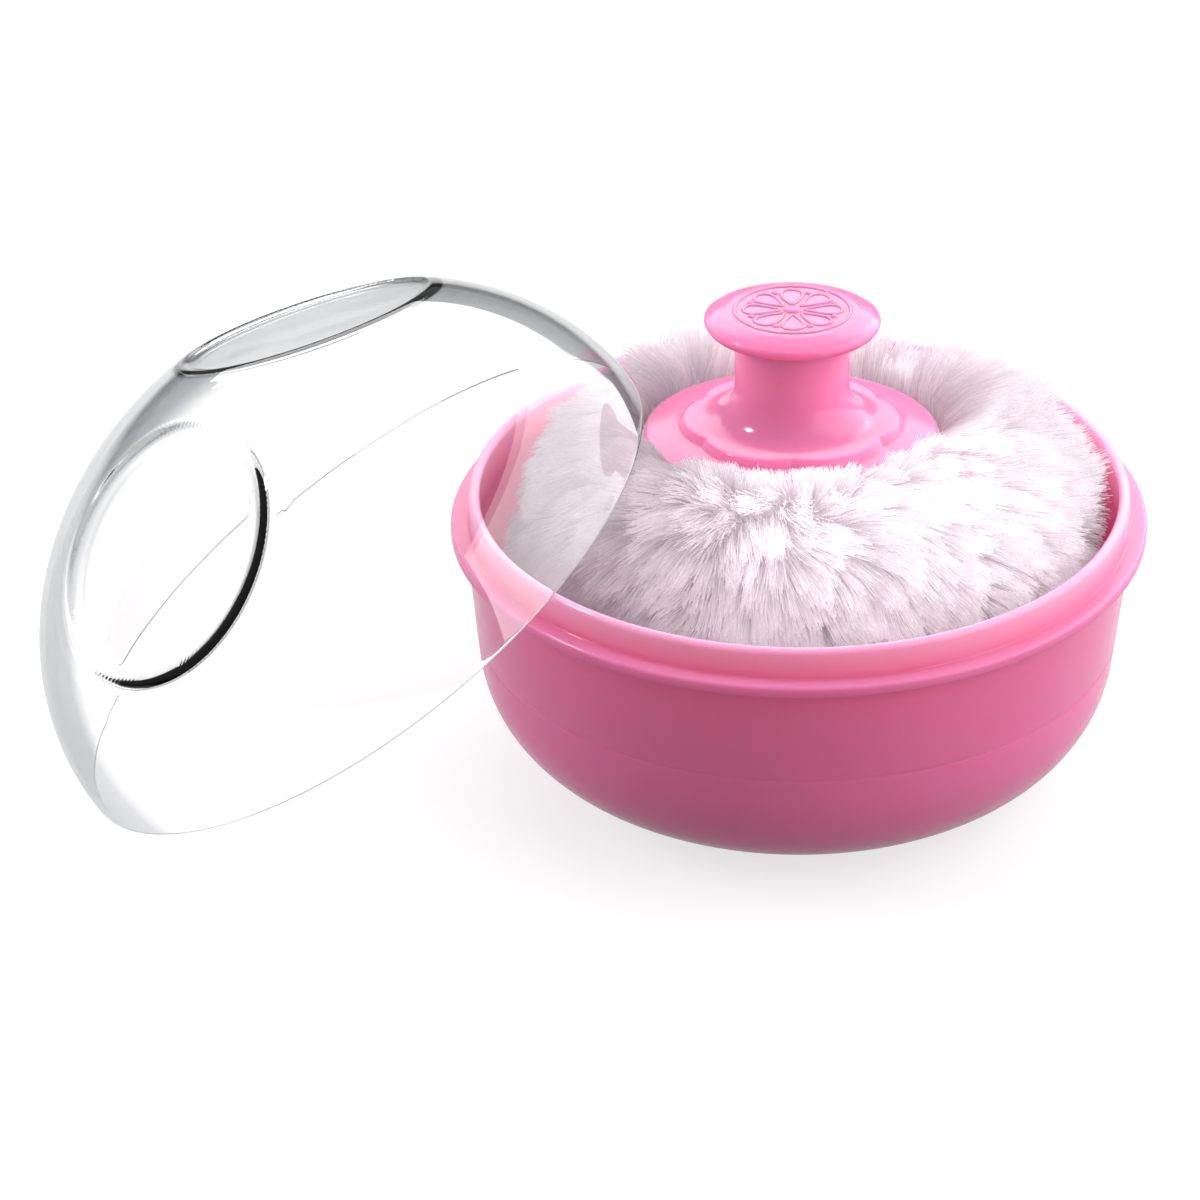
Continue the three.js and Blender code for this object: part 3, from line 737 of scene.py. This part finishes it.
def lid_shell():
    """Outer and inner skins joined by the rounded rim."""
    outer, outer_faces = dome_skin(0)
    inner, inner_faces = dome_skin(LID_WALL)
    profile = filleted(
        (INNER_RADIUS - 0.01, RIM_EDGE, 0),
        (INNER_RADIUS, 0, 0.3),
        (LID_RADIUS, 0, 0.35),
        (LID_RADIUS - 0.01, RIM_EDGE, 0),
    )[1:-1]
    points = [tuple(p) for p in (*outer, *inner)]
    base = len(outer)
    faces = outer_faces + [tuple(i + base for i in f[::-1]) for f in inner_faces]
    rings = [list(range(base, base + LID_SIDES))]
    for r, z in profile:
        rings.append(list(range(len(points), len(points) + LID_SIDES)))
        for k in range(LID_SIDES):
            a = k / LID_SIDES * TAU
            points.append((r * math.cos(a), r * math.sin(a), z))
    rings.append(list(range(LID_SIDES)))
    return points, faces + bands(rings)


lid = piece("lid_shell", *lid_shell(), LID, "lid", "clear_plastic", CLEAR)
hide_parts("lid_dome")


# ---- Pile ----
SKIN_RADIUS, SKIN_WAIST, CROWN_HEIGHT, CROWN_RADIUS = 46.2, 27.0, 55.8, 31.0
DIMPLE, COVER_LOW, FABRIC, MOUTH_RADIUS = 24.5, 6.5, 2.5, 7
POCKET_RADIUS, POCKET_LOW, POCKET_CHAMFER = 27.3, 16, 5
FREE_RISE, TUFT_REACH, PARTING_DEPTH = 2.6, 4.2, 3.4
# Turns in degrees, counted from the front by the right, with the width to each side
FRONT, TUFT, PARTING, PRESSED = (4, 62), (82, 42), (136, 13), (276, 49)
TUFT_LEAN, PARTING_SHADE, PRESSED_SHADE = (78, 40), (136, 18), (280, 62)


def lobe(turn, middle, width):
    """1 round one turn, and 0 away from it."""
    away = (turn - middle + 180) % 360 - 180
    return np.exp(-((away / width) ** 4))


def swell_rise(turn):
    """How much the pile stands taller, less where the lid presses it and in its parting."""
    free = FREE_RISE * (1 - lobe(turn, *PRESSED))
    return free - PARTING_DEPTH * lobe(turn, *PARTING)


def swell_reach(turn):
    """How far the big tuft spreads towards the bowl's wall."""
    return TUFT_REACH * lobe(turn, *TUFT)


def inside_pile(r, z, turn):
    """True for points under the top of the pile, which sinks to the handle in front."""
    edge = SKIN_RADIUS + swell_reach(turn) * np.clip((z - SKIN_WAIST) / 12, 0, 1)
    share = np.clip((r - CROWN_RADIUS) / (edge - CROWN_RADIUS), 0, 1)
    top = SKIN_WAIST + (CROWN_HEIGHT + swell_rise(turn) - SKIN_WAIST) * np.sqrt(1 - share**2)
    top -= 2.2 * np.clip((CROWN_RADIUS - r) / 9, 0, 1) * lobe(turn, *FRONT)
    low = SKIN_WAIST * (1 - np.sqrt(1 - np.clip((r - 22) / (SKIN_RADIUS - 22), 0, 1) ** 2))
    return (r < edge) & (z < top) & (z > low)


def backing_profile():
    """Knitted skin of the cover, with its mouth and its pocket for the foam, from outside in."""
    lower = ellipse(20, SKIN_WAIST, 18, SKIN_WAIST - COVER_LOW, -90, 0, 16)
    upper = ellipse(DIMPLE, SKIN_WAIST, 38 - DIMPLE, SEAT - SKIN_WAIST, 0, 90, 22)
    skin = [(0, COVER_LOW), (10, COVER_LOW), *lower, *upper[1:]]
    inside = [
        (MOUTH_RADIUS, SEAT),
        (MOUTH_RADIUS, SEAT - FABRIC),
        (POCKET_RADIUS - POCKET_CHAMFER, SEAT - FABRIC),
        (POCKET_RADIUS, SEAT - FABRIC - POCKET_CHAMFER),
        (POCKET_RADIUS, POCKET_LOW + POCKET_CHAMFER),
        (POCKET_RADIUS - POCKET_CHAMFER, POCKET_LOW),
        (0, POCKET_LOW),
    ]
    return skin, inside


def backing_shift(r, z, angle):
    """Follows part of the pile's swell, so that the strands keep about one length."""
    turn = np.degrees(angle) + 90
    share = np.clip((r - DIMPLE) / 4, 0, 1) * np.clip((z - 30) / 16, 0, 1)
    return r + 0.5 * share * swell_reach(turn), z + 0.6 * share * swell_rise(turn)


def pile_fields(points, rises):
    """Density, strand length, lean and tone of the pile at points of its backing, whose normals
    are the rises, in the puff's frame. A strand ends about where the pile's top lies."""
    r = np.hypot(points[:, 0], points[:, 1])
    z = points[:, 2]
    angle = np.arctan2(points[:, 1], points[:, 0])
    turn = np.degrees(angle) + 90
    out = np.stack((np.cos(angle), np.sin(angle), 0 * angle), 1)
    along = np.stack((-np.sin(angle), np.cos(angle), 0 * angle), 1)
    up = np.array((0, 0, 1.0))
    high = np.clip((z - 22) / 24, 0, 1)
    brim = np.exp(-(((r - DIMPLE) / 5) ** 2)) * (z > 45)
    front, tuft = lobe(turn, *FRONT), lobe(turn, *TUFT_LEAN)
    density = (0.3 + 0.7 * high) * (1 + 0.3 * brim)
    slope = np.clip((r - DIMPLE) / 12, 0, 1)
    # Strands lean out on the crown, in over the handle in front, down low on the side, and in
    # three slow waves round the puff
    lean = (0.75 * high + 0.1 * brim - 1.0 * brim * front + 0.6 * tuft * high)[:, None] * out
    lean = lean + (0.45 * np.sin(np.radians(3 * turn + 40)) * high)[:, None] * along
    lean = lean + (0.3 * tuft * high - 0.8 * slope * high * (1 - tuft))[:, None] * up
    lean = lean - (0.5 * (1 - high) * (z > 12))[:, None] * up
    way = rises + lean
    way /= np.linalg.norm(way, axis=1)[:, None]
    length = np.full(len(points), 4.0)
    for step in np.arange(4, 15, 0.25):
        q = points + way * step
        within = inside_pile(np.hypot(q[:, 0], q[:, 1]), q[:, 2], turn)
        length = np.where(within & (length > step - 0.3), step + 0.25, length)
    length *= 1.12 + 0.4 * tuft * high - 0.1 * brim * front
    # Darker low down, where the lid shades it and in the parting; paler by the handle in front
    tone = (0.97 + 0.03 * front) * (0.78 + 0.22 * high)
    tone *= 1 + 0.25 * front * np.exp(-(((r - 28) / 5) ** 2)) * (z > 40)
    shade = (1 - 0.4 * lobe(turn, *PRESSED_SHADE)) * (1 - 0.2 * lobe(turn, *PARTING_SHADE))
    return density, length, lean, tone * shade


STORE, READ = "GeometryNodeStoreNamedAttribute", "GeometryNodeInputNamedAttribute"
RANDOM = "FunctionNodeRandomValue"


def growing_tree():
    """Grows bent, clumped, tapering strands on a mesh that carries pile_density, pile_length,
    pile_lean and pile_tone."""
    numbers = ("Strands per m2", "Clumps per m2", "Strand radius", "Clumping", "Stray")
    sizes = {"Backing": "Geometry", **dict.fromkeys(numbers, "Float")}
    sizes |= {"Seed": "Int", "Fibre": "Material"}
    tree, add, given = geometry_tree("growing_pile", sizes, "Pile")
    grown = {}
    for group, density, seed in (("strand", "Strands per m2", 1), ("clump", "Clumps per m2", 7)):
        share = add(READ, {"Name": "pile_density"})
        rate = add(MATH, {0: share, 1: given[density]}, "MULTIPLY")
        seeded = add(MATH, {0: given["Seed"], 1: seed}, "ADD")
        dots = {"Mesh": given["Backing"], "Density": rate, "Seed": seeded}
        dots = add("GeometryNodeDistributePointsOnFaces", dots).outputs
        length = add(READ, {"Name": "pile_length"})
        lean = add(READ, {"Name": "pile_lean"}, "FLOAT_VECTOR")
        place = add("GeometryNodeInputPosition")
        swirl = add(NOISE, {"Vector": place, "Scale": 130.0, "Detail": 3.0}).outputs["Color"]
        swirl = add(VECTOR_MATH, {0: swirl, 1: (0.5, 0.5, 0.5)}, "SUBTRACT")
        swirl = add(VECTOR_MATH, {0: swirl, "Scale": 2.6}, "SCALE")
        stray = {"Min": (-1.0, -1.0, -1.0), "Max": (1.0, 1.0, 1.0), "Seed": seeded}
        stray = add(RANDOM, stray, "FLOAT_VECTOR")
        stray = add(VECTOR_MATH, {0: stray, "Scale": given["Stray"]}, "SCALE")
        way = dots["Normal"]
        for push in (lean, swirl, stray):
            way = add(VECTOR_MATH, {0: way, 1: push}, "ADD")
        way = add(VECTOR_MATH, {0: way}, "NORMALIZE")
        vary = {"Min": 0.72, "Max": 1.08, "Seed": given["Seed"]}
        vary = add(RANDOM, vary)
        reach = add(MATH, {0: length, 1: vary}, "MULTIPLY")
        way = add(VECTOR_MATH, {0: way, "Scale": reach}, "SCALE")
        tip = add(VECTOR_MATH, {0: place, 1: way}, "ADD")
        kept = dots["Points"]
        for name, value in (("root", place), ("tip", tip), ("rise", dots["Normal"])):
            kept = {"Geometry": kept, "Name": name, "Value": value}
            kept = add(STORE, kept, "FLOAT_VECTOR")
        grown[group] = kept
    # Each strand looks up its nearest clump before it becomes a curve
    nearest = add("GeometryNodeSampleNearest", {"Geometry": grown["clump"]})
    any_share = {"Min": 0.0, "Max": 1.0}
    lock = add(RANDOM, {**any_share, "ID": nearest, "Seed": 5})
    tone = add(RANDOM, {**any_share, "Seed": 3})
    notes = [("own_lock", lock, "FLOAT"), ("own_tone", tone, "FLOAT")]
    for name in ("root", "tip"):
        value = add(READ, {"Name": name}, "FLOAT_VECTOR")
        value = {"Geometry": grown["clump"], "Value": value, "Index": nearest}
        value = add("GeometryNodeSampleIndex", value, "FLOAT_VECTOR")
        notes.append(("clump_" + name, value, "FLOAT_VECTOR"))
    strands = grown["strand"]
    for name, value, kind in notes:
        strands = {"Geometry": strands, "Name": name, "Value": value}
        strands = add(STORE, strands, kind)
    line = add("GeometryNodeCurvePrimitiveLine")
    line = add("GeometryNodeResampleCurve", {"Curve": line, "Count": 4})
    curves = add(ON_POINTS, {"Points": strands, "Instance": line})
    curves = add(REALIZE, {"Geometry": curves})
    root, tip, rise, clump_root, clump_tip = (
        add(READ, {"Name": name}, "FLOAT_VECTOR")
        for name in ("root", "tip", "rise", "clump_root", "clump_tip")
    )
    # The tip moves part of the way to its clump's, and the strand bends over from its rise
    along = add("GeometryNodeSplineParameter").outputs["Factor"]
    apart = add(VECTOR_MATH, {0: root, 1: clump_root}, "SUBTRACT")
    apart = add(VECTOR_MATH, {0: apart, "Scale": 0.6}, "SCALE")
    shared = add(VECTOR_MATH, {0: clump_tip, 1: apart}, "ADD")
    end = {"Factor": given["Clumping"], "A": tip, "B": shared}
    end = add(MIX, end, "VECTOR")
    whole = add(VECTOR_MATH, {0: end, 1: root}, "DISTANCE").outputs["Value"]
    half = add(MATH, {0: whole, 1: 0.5}, "MULTIPLY")
    middle = add(VECTOR_MATH, {0: rise, "Scale": half}, "SCALE")
    middle = add(VECTOR_MATH, {0: root, 1: middle}, "ADD")
    first = add(MIX, {"Factor": along, "A": root, "B": middle}, "VECTOR")
    second = add(MIX, {"Factor": along, "A": middle, "B": end}, "VECTOR")
    bent = add(MIX, {"Factor": along, "A": first, "B": second}, "VECTOR")
    curves = add("GeometryNodeSetPosition", {"Geometry": curves, "Position": bent})
    thin = {"Value": along, "From Min": 0.3, "From Max": 1.0, "To Min": 1.0, "To Max": 0.12}
    thin = {"Curve": curves, "Radius": add(RANGE, thin)}
    curves = add("GeometryNodeSetCurveRadius", thin)
    # Tone: mostly the place along the strand, and some of its own and of its clump's
    own, lock, tone = (
        add(READ, {"Name": name}) for name in ("own_tone", "own_lock", "pile_tone")
    )
    mixed = add(MIX, {"Factor": 0.35, "A": own, "B": lock})
    mixed = add(MIX, {"Factor": 0.32, "A": along, "B": mixed})
    mixed = add(MATH, {0: mixed, 1: tone}, "MULTIPLY")
    curves = {"Geometry": curves, "Name": "strand_tone", "Value": mixed}
    curves = add(STORE, curves)
    ring = add(CIRCLE, {"Resolution": 3, "Radius": given["Strand radius"]})
    tubes = {"Curve": curves, "Profile Curve": ring, "Fill Caps": True}
    tubes = add("GeometryNodeCurveToMesh", tubes)
    tubes = add(REALIZE, {"Geometry": tubes})
    tubes = {"Geometry": tubes, "Material": given["Fibre"]}
    add("NodeGroupOutput", {"Pile": add("GeometryNodeSetMaterial", tubes)})
    return tree


def own_frame(points, place):
    """Points of the row in millimetres in a group's frame."""
    back = np.array(place.inverted())
    return (points @ back[:3, :3].T + back[:3, 3]) / MM


def in_row(points, place):
    """Points of a group's frame in millimetres, in the row."""
    matrix = np.array(place)
    return (points * MM) @ matrix[:3, :3].T + matrix[:3, 3]


def hold_radius(points, least=0, most=math.inf):
    """Moves points level along their radius to between two limits."""
    r = np.hypot(points[:, 0], points[:, 1])
    points[:, :2] *= (np.clip(r, least, most) / np.maximum(r, 1e-9))[:, None]
    return points


# Room that the strands keep from the bowl's wall and floor, and from the lid's two faces
WALL_ROOM, FLOOR_ROOM, LID_ROOM = 0.35, 0.15, 0.3
# Heights in the puff's frame, and how far out the handle reaches there
HANDLE_HEIGHTS = (SEAT - 0.5, SEAT, 53.6, 54.0, 55.6, 56.0, 58, 62, 69.7, 70.5, 74.0, 75.0)
HANDLE_RADII = (0, 24.6, 24.5, 19.4, 19.2, 15.6, 11.6, 9.9, 9.9, 14.9, 14.9, 0)
FREE = 999


def press_clear(points, roots):
    """Presses strands clear of the bowl, the handle and the lid that touch the pile."""
    p = own_frame(points, BOWL)
    z = p[:, 2]
    drafted = NECK_INNER - DRAFT * np.clip(LEDGE_UNDER - z, 0, FREE)
    sunk = np.clip((CORNER_HEIGHT - z) / (CORNER_HEIGHT - FLOOR_TOP), 0, 0.999)
    corner = corner_centre + (CORNER_WIDTH - BOWL_WALL) * np.sqrt(1 - sunk**2)
    wall = np.where(z < CORNER_HEIGHT, corner, drafted) - WALL_ROOM
    p = hold_radius(p, most=np.where(z > NECK_TOP + 0.4, FREE, wall))
    p[:, 2] = np.maximum(p[:, 2], FLOOR_TOP + FLOOR_ROOM)
    points = in_row(p, BOWL)

    p = own_frame(points, PUFF)
    p = hold_radius(p, least=np.interp(p[:, 2], HANDLE_HEIGHTS, HANDLE_RADII))
    points = in_row(p, PUFF)

    p = own_frame(points, LID)
    root = own_frame(roots, LID)
    inside = np.hypot(root[:, 0], root[:, 1]) < LID_RADIUS - 0.5
    z = p[:, 2]
    near = (z > -0.7) & (z < 25)
    bulge = np.sqrt(1 - np.clip(z / INNER_HEIGHT, 0, 0.99) ** 2)
    most = np.where(near & inside, INNER_RADIUS * bulge - WALL_ROOM, FREE)
    least = np.where(near & ~inside, LID_RADIUS + LID_ROOM, 0)
    return in_row(hold_radius(p, least, most), LID)


def vectors(data, key, count):
    """An attribute's values as rows of three."""
    out = np.zeros(count * 3, np.float32)
    data.foreach_get(key, out)
    return out.reshape(-1, 3).astype(float)


def make_pile():
    """The knitted cover, and the strands that grow from its skin."""
    skin, inside = backing_profile()

    def shift(r, z, i, angle):
        return backing_shift(r, z, angle) if i < len(skin) else (r, z)

    knit = turned([*skin, *inside], 120, shift)
    knit = piece("pile_knit", *knit, PUFF, "puff", "pile_fabric", KNIT)
    pile = piece("pile_cover", *turned(skin, 120, shift), PUFF, None, None, None)
    mesh = pile.data
    count = len(mesh.vertices)
    matrix = np.array(PUFF)[:3, :3]
    own = own_frame(vectors(mesh.vertices, "co", count), PUFF)
    rises = vectors(mesh.vertices, "normal", count) @ matrix
    if rises[np.argmax(own[:, 2])][2] < 0:
        mesh.flip_normals()
        rises = -rises
    density, length, lean, tone = pile_fields(own, rises)
    for name, kind, key, values in (
        ("pile_density", "FLOAT", "value", density),
        ("pile_tone", "FLOAT", "value", tone),
        ("pile_length", "FLOAT", "value", length * MM),
        ("pile_lean", "FLOAT_VECTOR", "vector", lean @ matrix.T),
    ):
        field = mesh.attributes.new(name, kind, "POINT")
        field.data.foreach_set(key, np.asarray(values, np.float32).ravel())
    sizes = {
        "Strands per m2": 9e6,
        "Clumps per m2": 0.18e6,
        "Strand radius": 0.065 * MM,
        "Clumping": 0.5,
        "Stray": 0.22,
        "Seed": 11,
        "Fibre": FIBRE,
    }
    through_tree(pile, growing_tree(), sizes)
    mesh = pile.data
    count = len(mesh.vertices)
    places = vectors(mesh.vertices, "co", count)
    places = press_clear(places, vectors(mesh.attributes["root"].data, "vector", count))
    mesh.vertices.foreach_set("co", places.astype(np.float32).ravel())
    for name in [a.name for a in mesh.attributes]:
        if name.startswith(("root", "tip", "rise", "clump_", "own_", "pile_")):
            mesh.attributes.remove(mesh.attributes[name])
    mesh.update()
    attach(pile, "puff")
    # Light reaches every strand, as it does through real fibres; the knit keeps the shadow
    pile.visible_shadow = False
    pile.visible_glossy = False
    for part in (pile, knit):
        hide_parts("puff_cover")


make_pile()


# ---- Foam core, draw cord, plate and screw ----
PLATE = 1.2
FOAM_TOP = SEAT - FABRIC - SEAT_GAP - PLATE - SEAT_GAP
FOAM_LOW, FOAM_RADIUS = POCKET_LOW + SEAT_GAP, POCKET_RADIUS - SEAT_GAP
SCREW_POCKET_RADIUS, SCREW_POCKET = 3.8, 2.5


def foam_profile():
    """Foam pad with softly rounded edges and the pocket that takes the screw's head."""
    return filleted(
        (0, FOAM_LOW, 0),
        (FOAM_RADIUS - POCKET_CHAMFER, FOAM_LOW, 4),
        (FOAM_RADIUS, FOAM_LOW + POCKET_CHAMFER, 4),
        (FOAM_RADIUS, FOAM_TOP - POCKET_CHAMFER, 4),
        (FOAM_RADIUS - POCKET_CHAMFER, FOAM_TOP, 4),
        (SCREW_POCKET_RADIUS, FOAM_TOP, 0.5),
        (SCREW_POCKET_RADIUS, FOAM_TOP - SCREW_POCKET, 0.5),
        (0, FOAM_TOP - SCREW_POCKET, 0),
    )


foam = piece("foam_core", *turned(foam_profile(), 96), PUFF, "puff", "foam", FOAM)
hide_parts("puff_core")

CORD_RING_RADIUS, CORD_RADIUS, CORD_LAYS = 9.5, 0.8, 26
LAY_RADIUS, YARN_RADIUS = 0.37, 0.4


def cord_ring():
    """Ring of a cord laid from three strands, as points and faces."""
    points, faces = [], []
    along, around = 180, 8
    for strand in range(3):
        base = len(points)
        for i in range(along):
            a = i / along * TAU
            twist = CORD_LAYS * a + strand / 3 * TAU
            r = CORD_RING_RADIUS + LAY_RADIUS * math.cos(twist)
            z = FLANGE_UNDER + CORD_RADIUS + LAY_RADIUS * math.sin(twist)
            for k in range(around):
                b = k / around * TAU
                rr, zz = r + YARN_RADIUS * math.cos(b), z + YARN_RADIUS * math.sin(b)
                points.append((rr * math.cos(a), rr * math.sin(a), zz))
        for i in range(along):
            for k in range(around):
                n, m = (i + 1) % along, (k + 1) % around
                quad = (i * around + k, n * around + k, n * around + m, i * around + m)
                faces.append(tuple(base + j for j in quad))
    return points, faces


cord = piece("cord_ring", *cord_ring(), PUFF, "puff", "cord_fabric", COTTON)
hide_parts("draw_cord")

for node, mat in (("clamp_plate", WHITE), ("clamp_screw", ZINC)):
    carried = bpy.data.objects[node]
    carried.data.materials.clear()
    carried.data.materials.append(mat)


# ---- Stage, lamps and world ----
def floor_material():
    """White sweep that keeps the soft shadow. Away from the set it looks greyer to bent rays and
    dark to mirrored ones, as in a studio with dark walls, so that the clear lid gets its edges."""
    mat, add = material("white_floor")
    ray = add("ShaderNodeLightPath").outputs
    rays = {0: ray["Is Glossy Ray"], 1: ray["Is Transmission Ray"]}
    mirror = add(MATH, rays, "SUBTRACT", use_clamp=True)
    bent = add(MATH, rays, "MAXIMUM")
    away = {0: object_place(add), 1: (1, 0.5, 0)}
    away = add(VECTOR_MATH, away, "MULTIPLY")
    away = add(VECTOR_MATH, {0: away}, "LENGTH").outputs["Value"]
    near = {"Value": away, "From Min": 0.24, "From Max": 0.42, "To Min": 1, "To Max": 0}
    near = {"Factor": bent, "A": 1, "B": add(RANGE, near)}
    near = add(MIX, near)
    white = {"Value": away, "From Min": 0.35, "From Max": 1.5, "To Min": 0.71, "To Max": 1}
    white = {"Factor": mirror, "A": add(RANGE, white), "B": 0.4}
    white = add(MIX, white)
    seen = add(MATH, {0: 1, 1: ray["Is Diffuse Ray"]}, "SUBTRACT")
    lift = add(MATH, {0: white, 1: seen}, "MULTIPLY")
    glow = add("ShaderNodeEmission", {"Strength": lift})
    greys = {"Factor": ray["Is Diffuse Ray"], "A": linear("#9c9c9c"), "B": linear("#6e6e6e")}
    plain = {"Color": add(MIX, greys, "RGBA")}
    plain = add("ShaderNodeBsdfDiffuse", plain)
    both = add("ShaderNodeAddShader", {0: plain, 1: glow})
    greys = {"Factor": ray["Is Transmission Ray"], "A": linear("#4a484a"), "B": linear("#b9b9bb")}
    dark = {"Color": add(MIX, greys, "RGBA")}
    dark = add("ShaderNodeEmission", dark)
    mix = add("ShaderNodeMixShader", {0: near, 1: dark, 2: both})
    add(SURFACE, {"Surface": mix})
    return mat


def flat_floor(half):
    """The stage's floor, facing up."""
    points = [(-half, -half, 0), (half, -half, 0), (half, half, 0), (-half, half, 0)]
    made = piece("floor", points, [(0, 1, 2, 3)], Matrix.Identity(4), None, None, floor_material())
    if made.data.polygons[0].normal.z < 0:
        made.data.flip_normals()


flat_floor(6000)


def soft_lamp(name, place, aim, size, power, unseen=()):
    """A rectangular lamp that some kinds of rays don't meet."""
    data = bpy.data.lights.new(name, "AREA")
    data.shape = "RECTANGLE"
    data.size, data.size_y = size
    data.energy = power
    lamp = bpy.data.objects.new(name, data)
    lamp.location = place
    lamp.rotation_mode = "QUATERNION"
    lamp.rotation_quaternion = (Vector(aim) - Vector(place)).to_track_quat("-Z", "Y")
    for kind in unseen:
        setattr(lamp, "visible_" + kind, False)
    scene.collection.objects.link(lamp)


LOW, HIGH = (0, 0, 0.03), (0, 0, 0.05)
BOX, SPARK = (0.7, 0.7), (0.07, 0.07)
soft_lamp("softbox_right", (1.15, 0.7, 0.82), (0, 0.7, 0.5), (3.9, 1.55), 50)
soft_lamp("softbox_left", (-1.1, 0.2, 0.5), LOW, BOX, 11, ("glossy", "transmission"))
soft_lamp("softbox_top", (-0.1, 0.2, 1.5), LOW, BOX, 5, ("glossy",))
soft_lamp("softbox_back", (0, 1.6, 0.95), HIGH, (2.2, 0.9), 20)
soft_lamp("lamp_front", (-0.66, 0.08, 0.78), HIGH, SPARK, 7, ("diffuse", "transmission"))
# The handle isn't mirrored in the lid
for part in (stem, head, rosette):
    part.visible_glossy = False

# A white room to the eye, and a dimmer one to the rays that light the set
world = bpy.data.worlds.new("studio")
scene.world = world
world.use_nodes = True
world.node_tree.nodes.clear()
add = adder(world.node_tree)
ray = add("ShaderNodeLightPath").outputs
dim = add(RANGE, {"Value": ray["Is Diffuse Ray"], "To Min": 0.2, "To Max": 0.36})
seen = add(RANGE, {"Value": ray["Is Transmission Ray"], "To Max": 0.5})
seen = add(MATH, {0: seen, 1: ray["Is Camera Ray"]}, "MAXIMUM")
level = add(MATH, {0: dim, 1: seen}, "MAXIMUM")
sky = add("ShaderNodeBackground", {"Color": (1, 1, 1, 1), "Strength": level})
add("ShaderNodeOutputWorld", {"Surface": sky})

scene.view_settings.view_transform = "Standard"
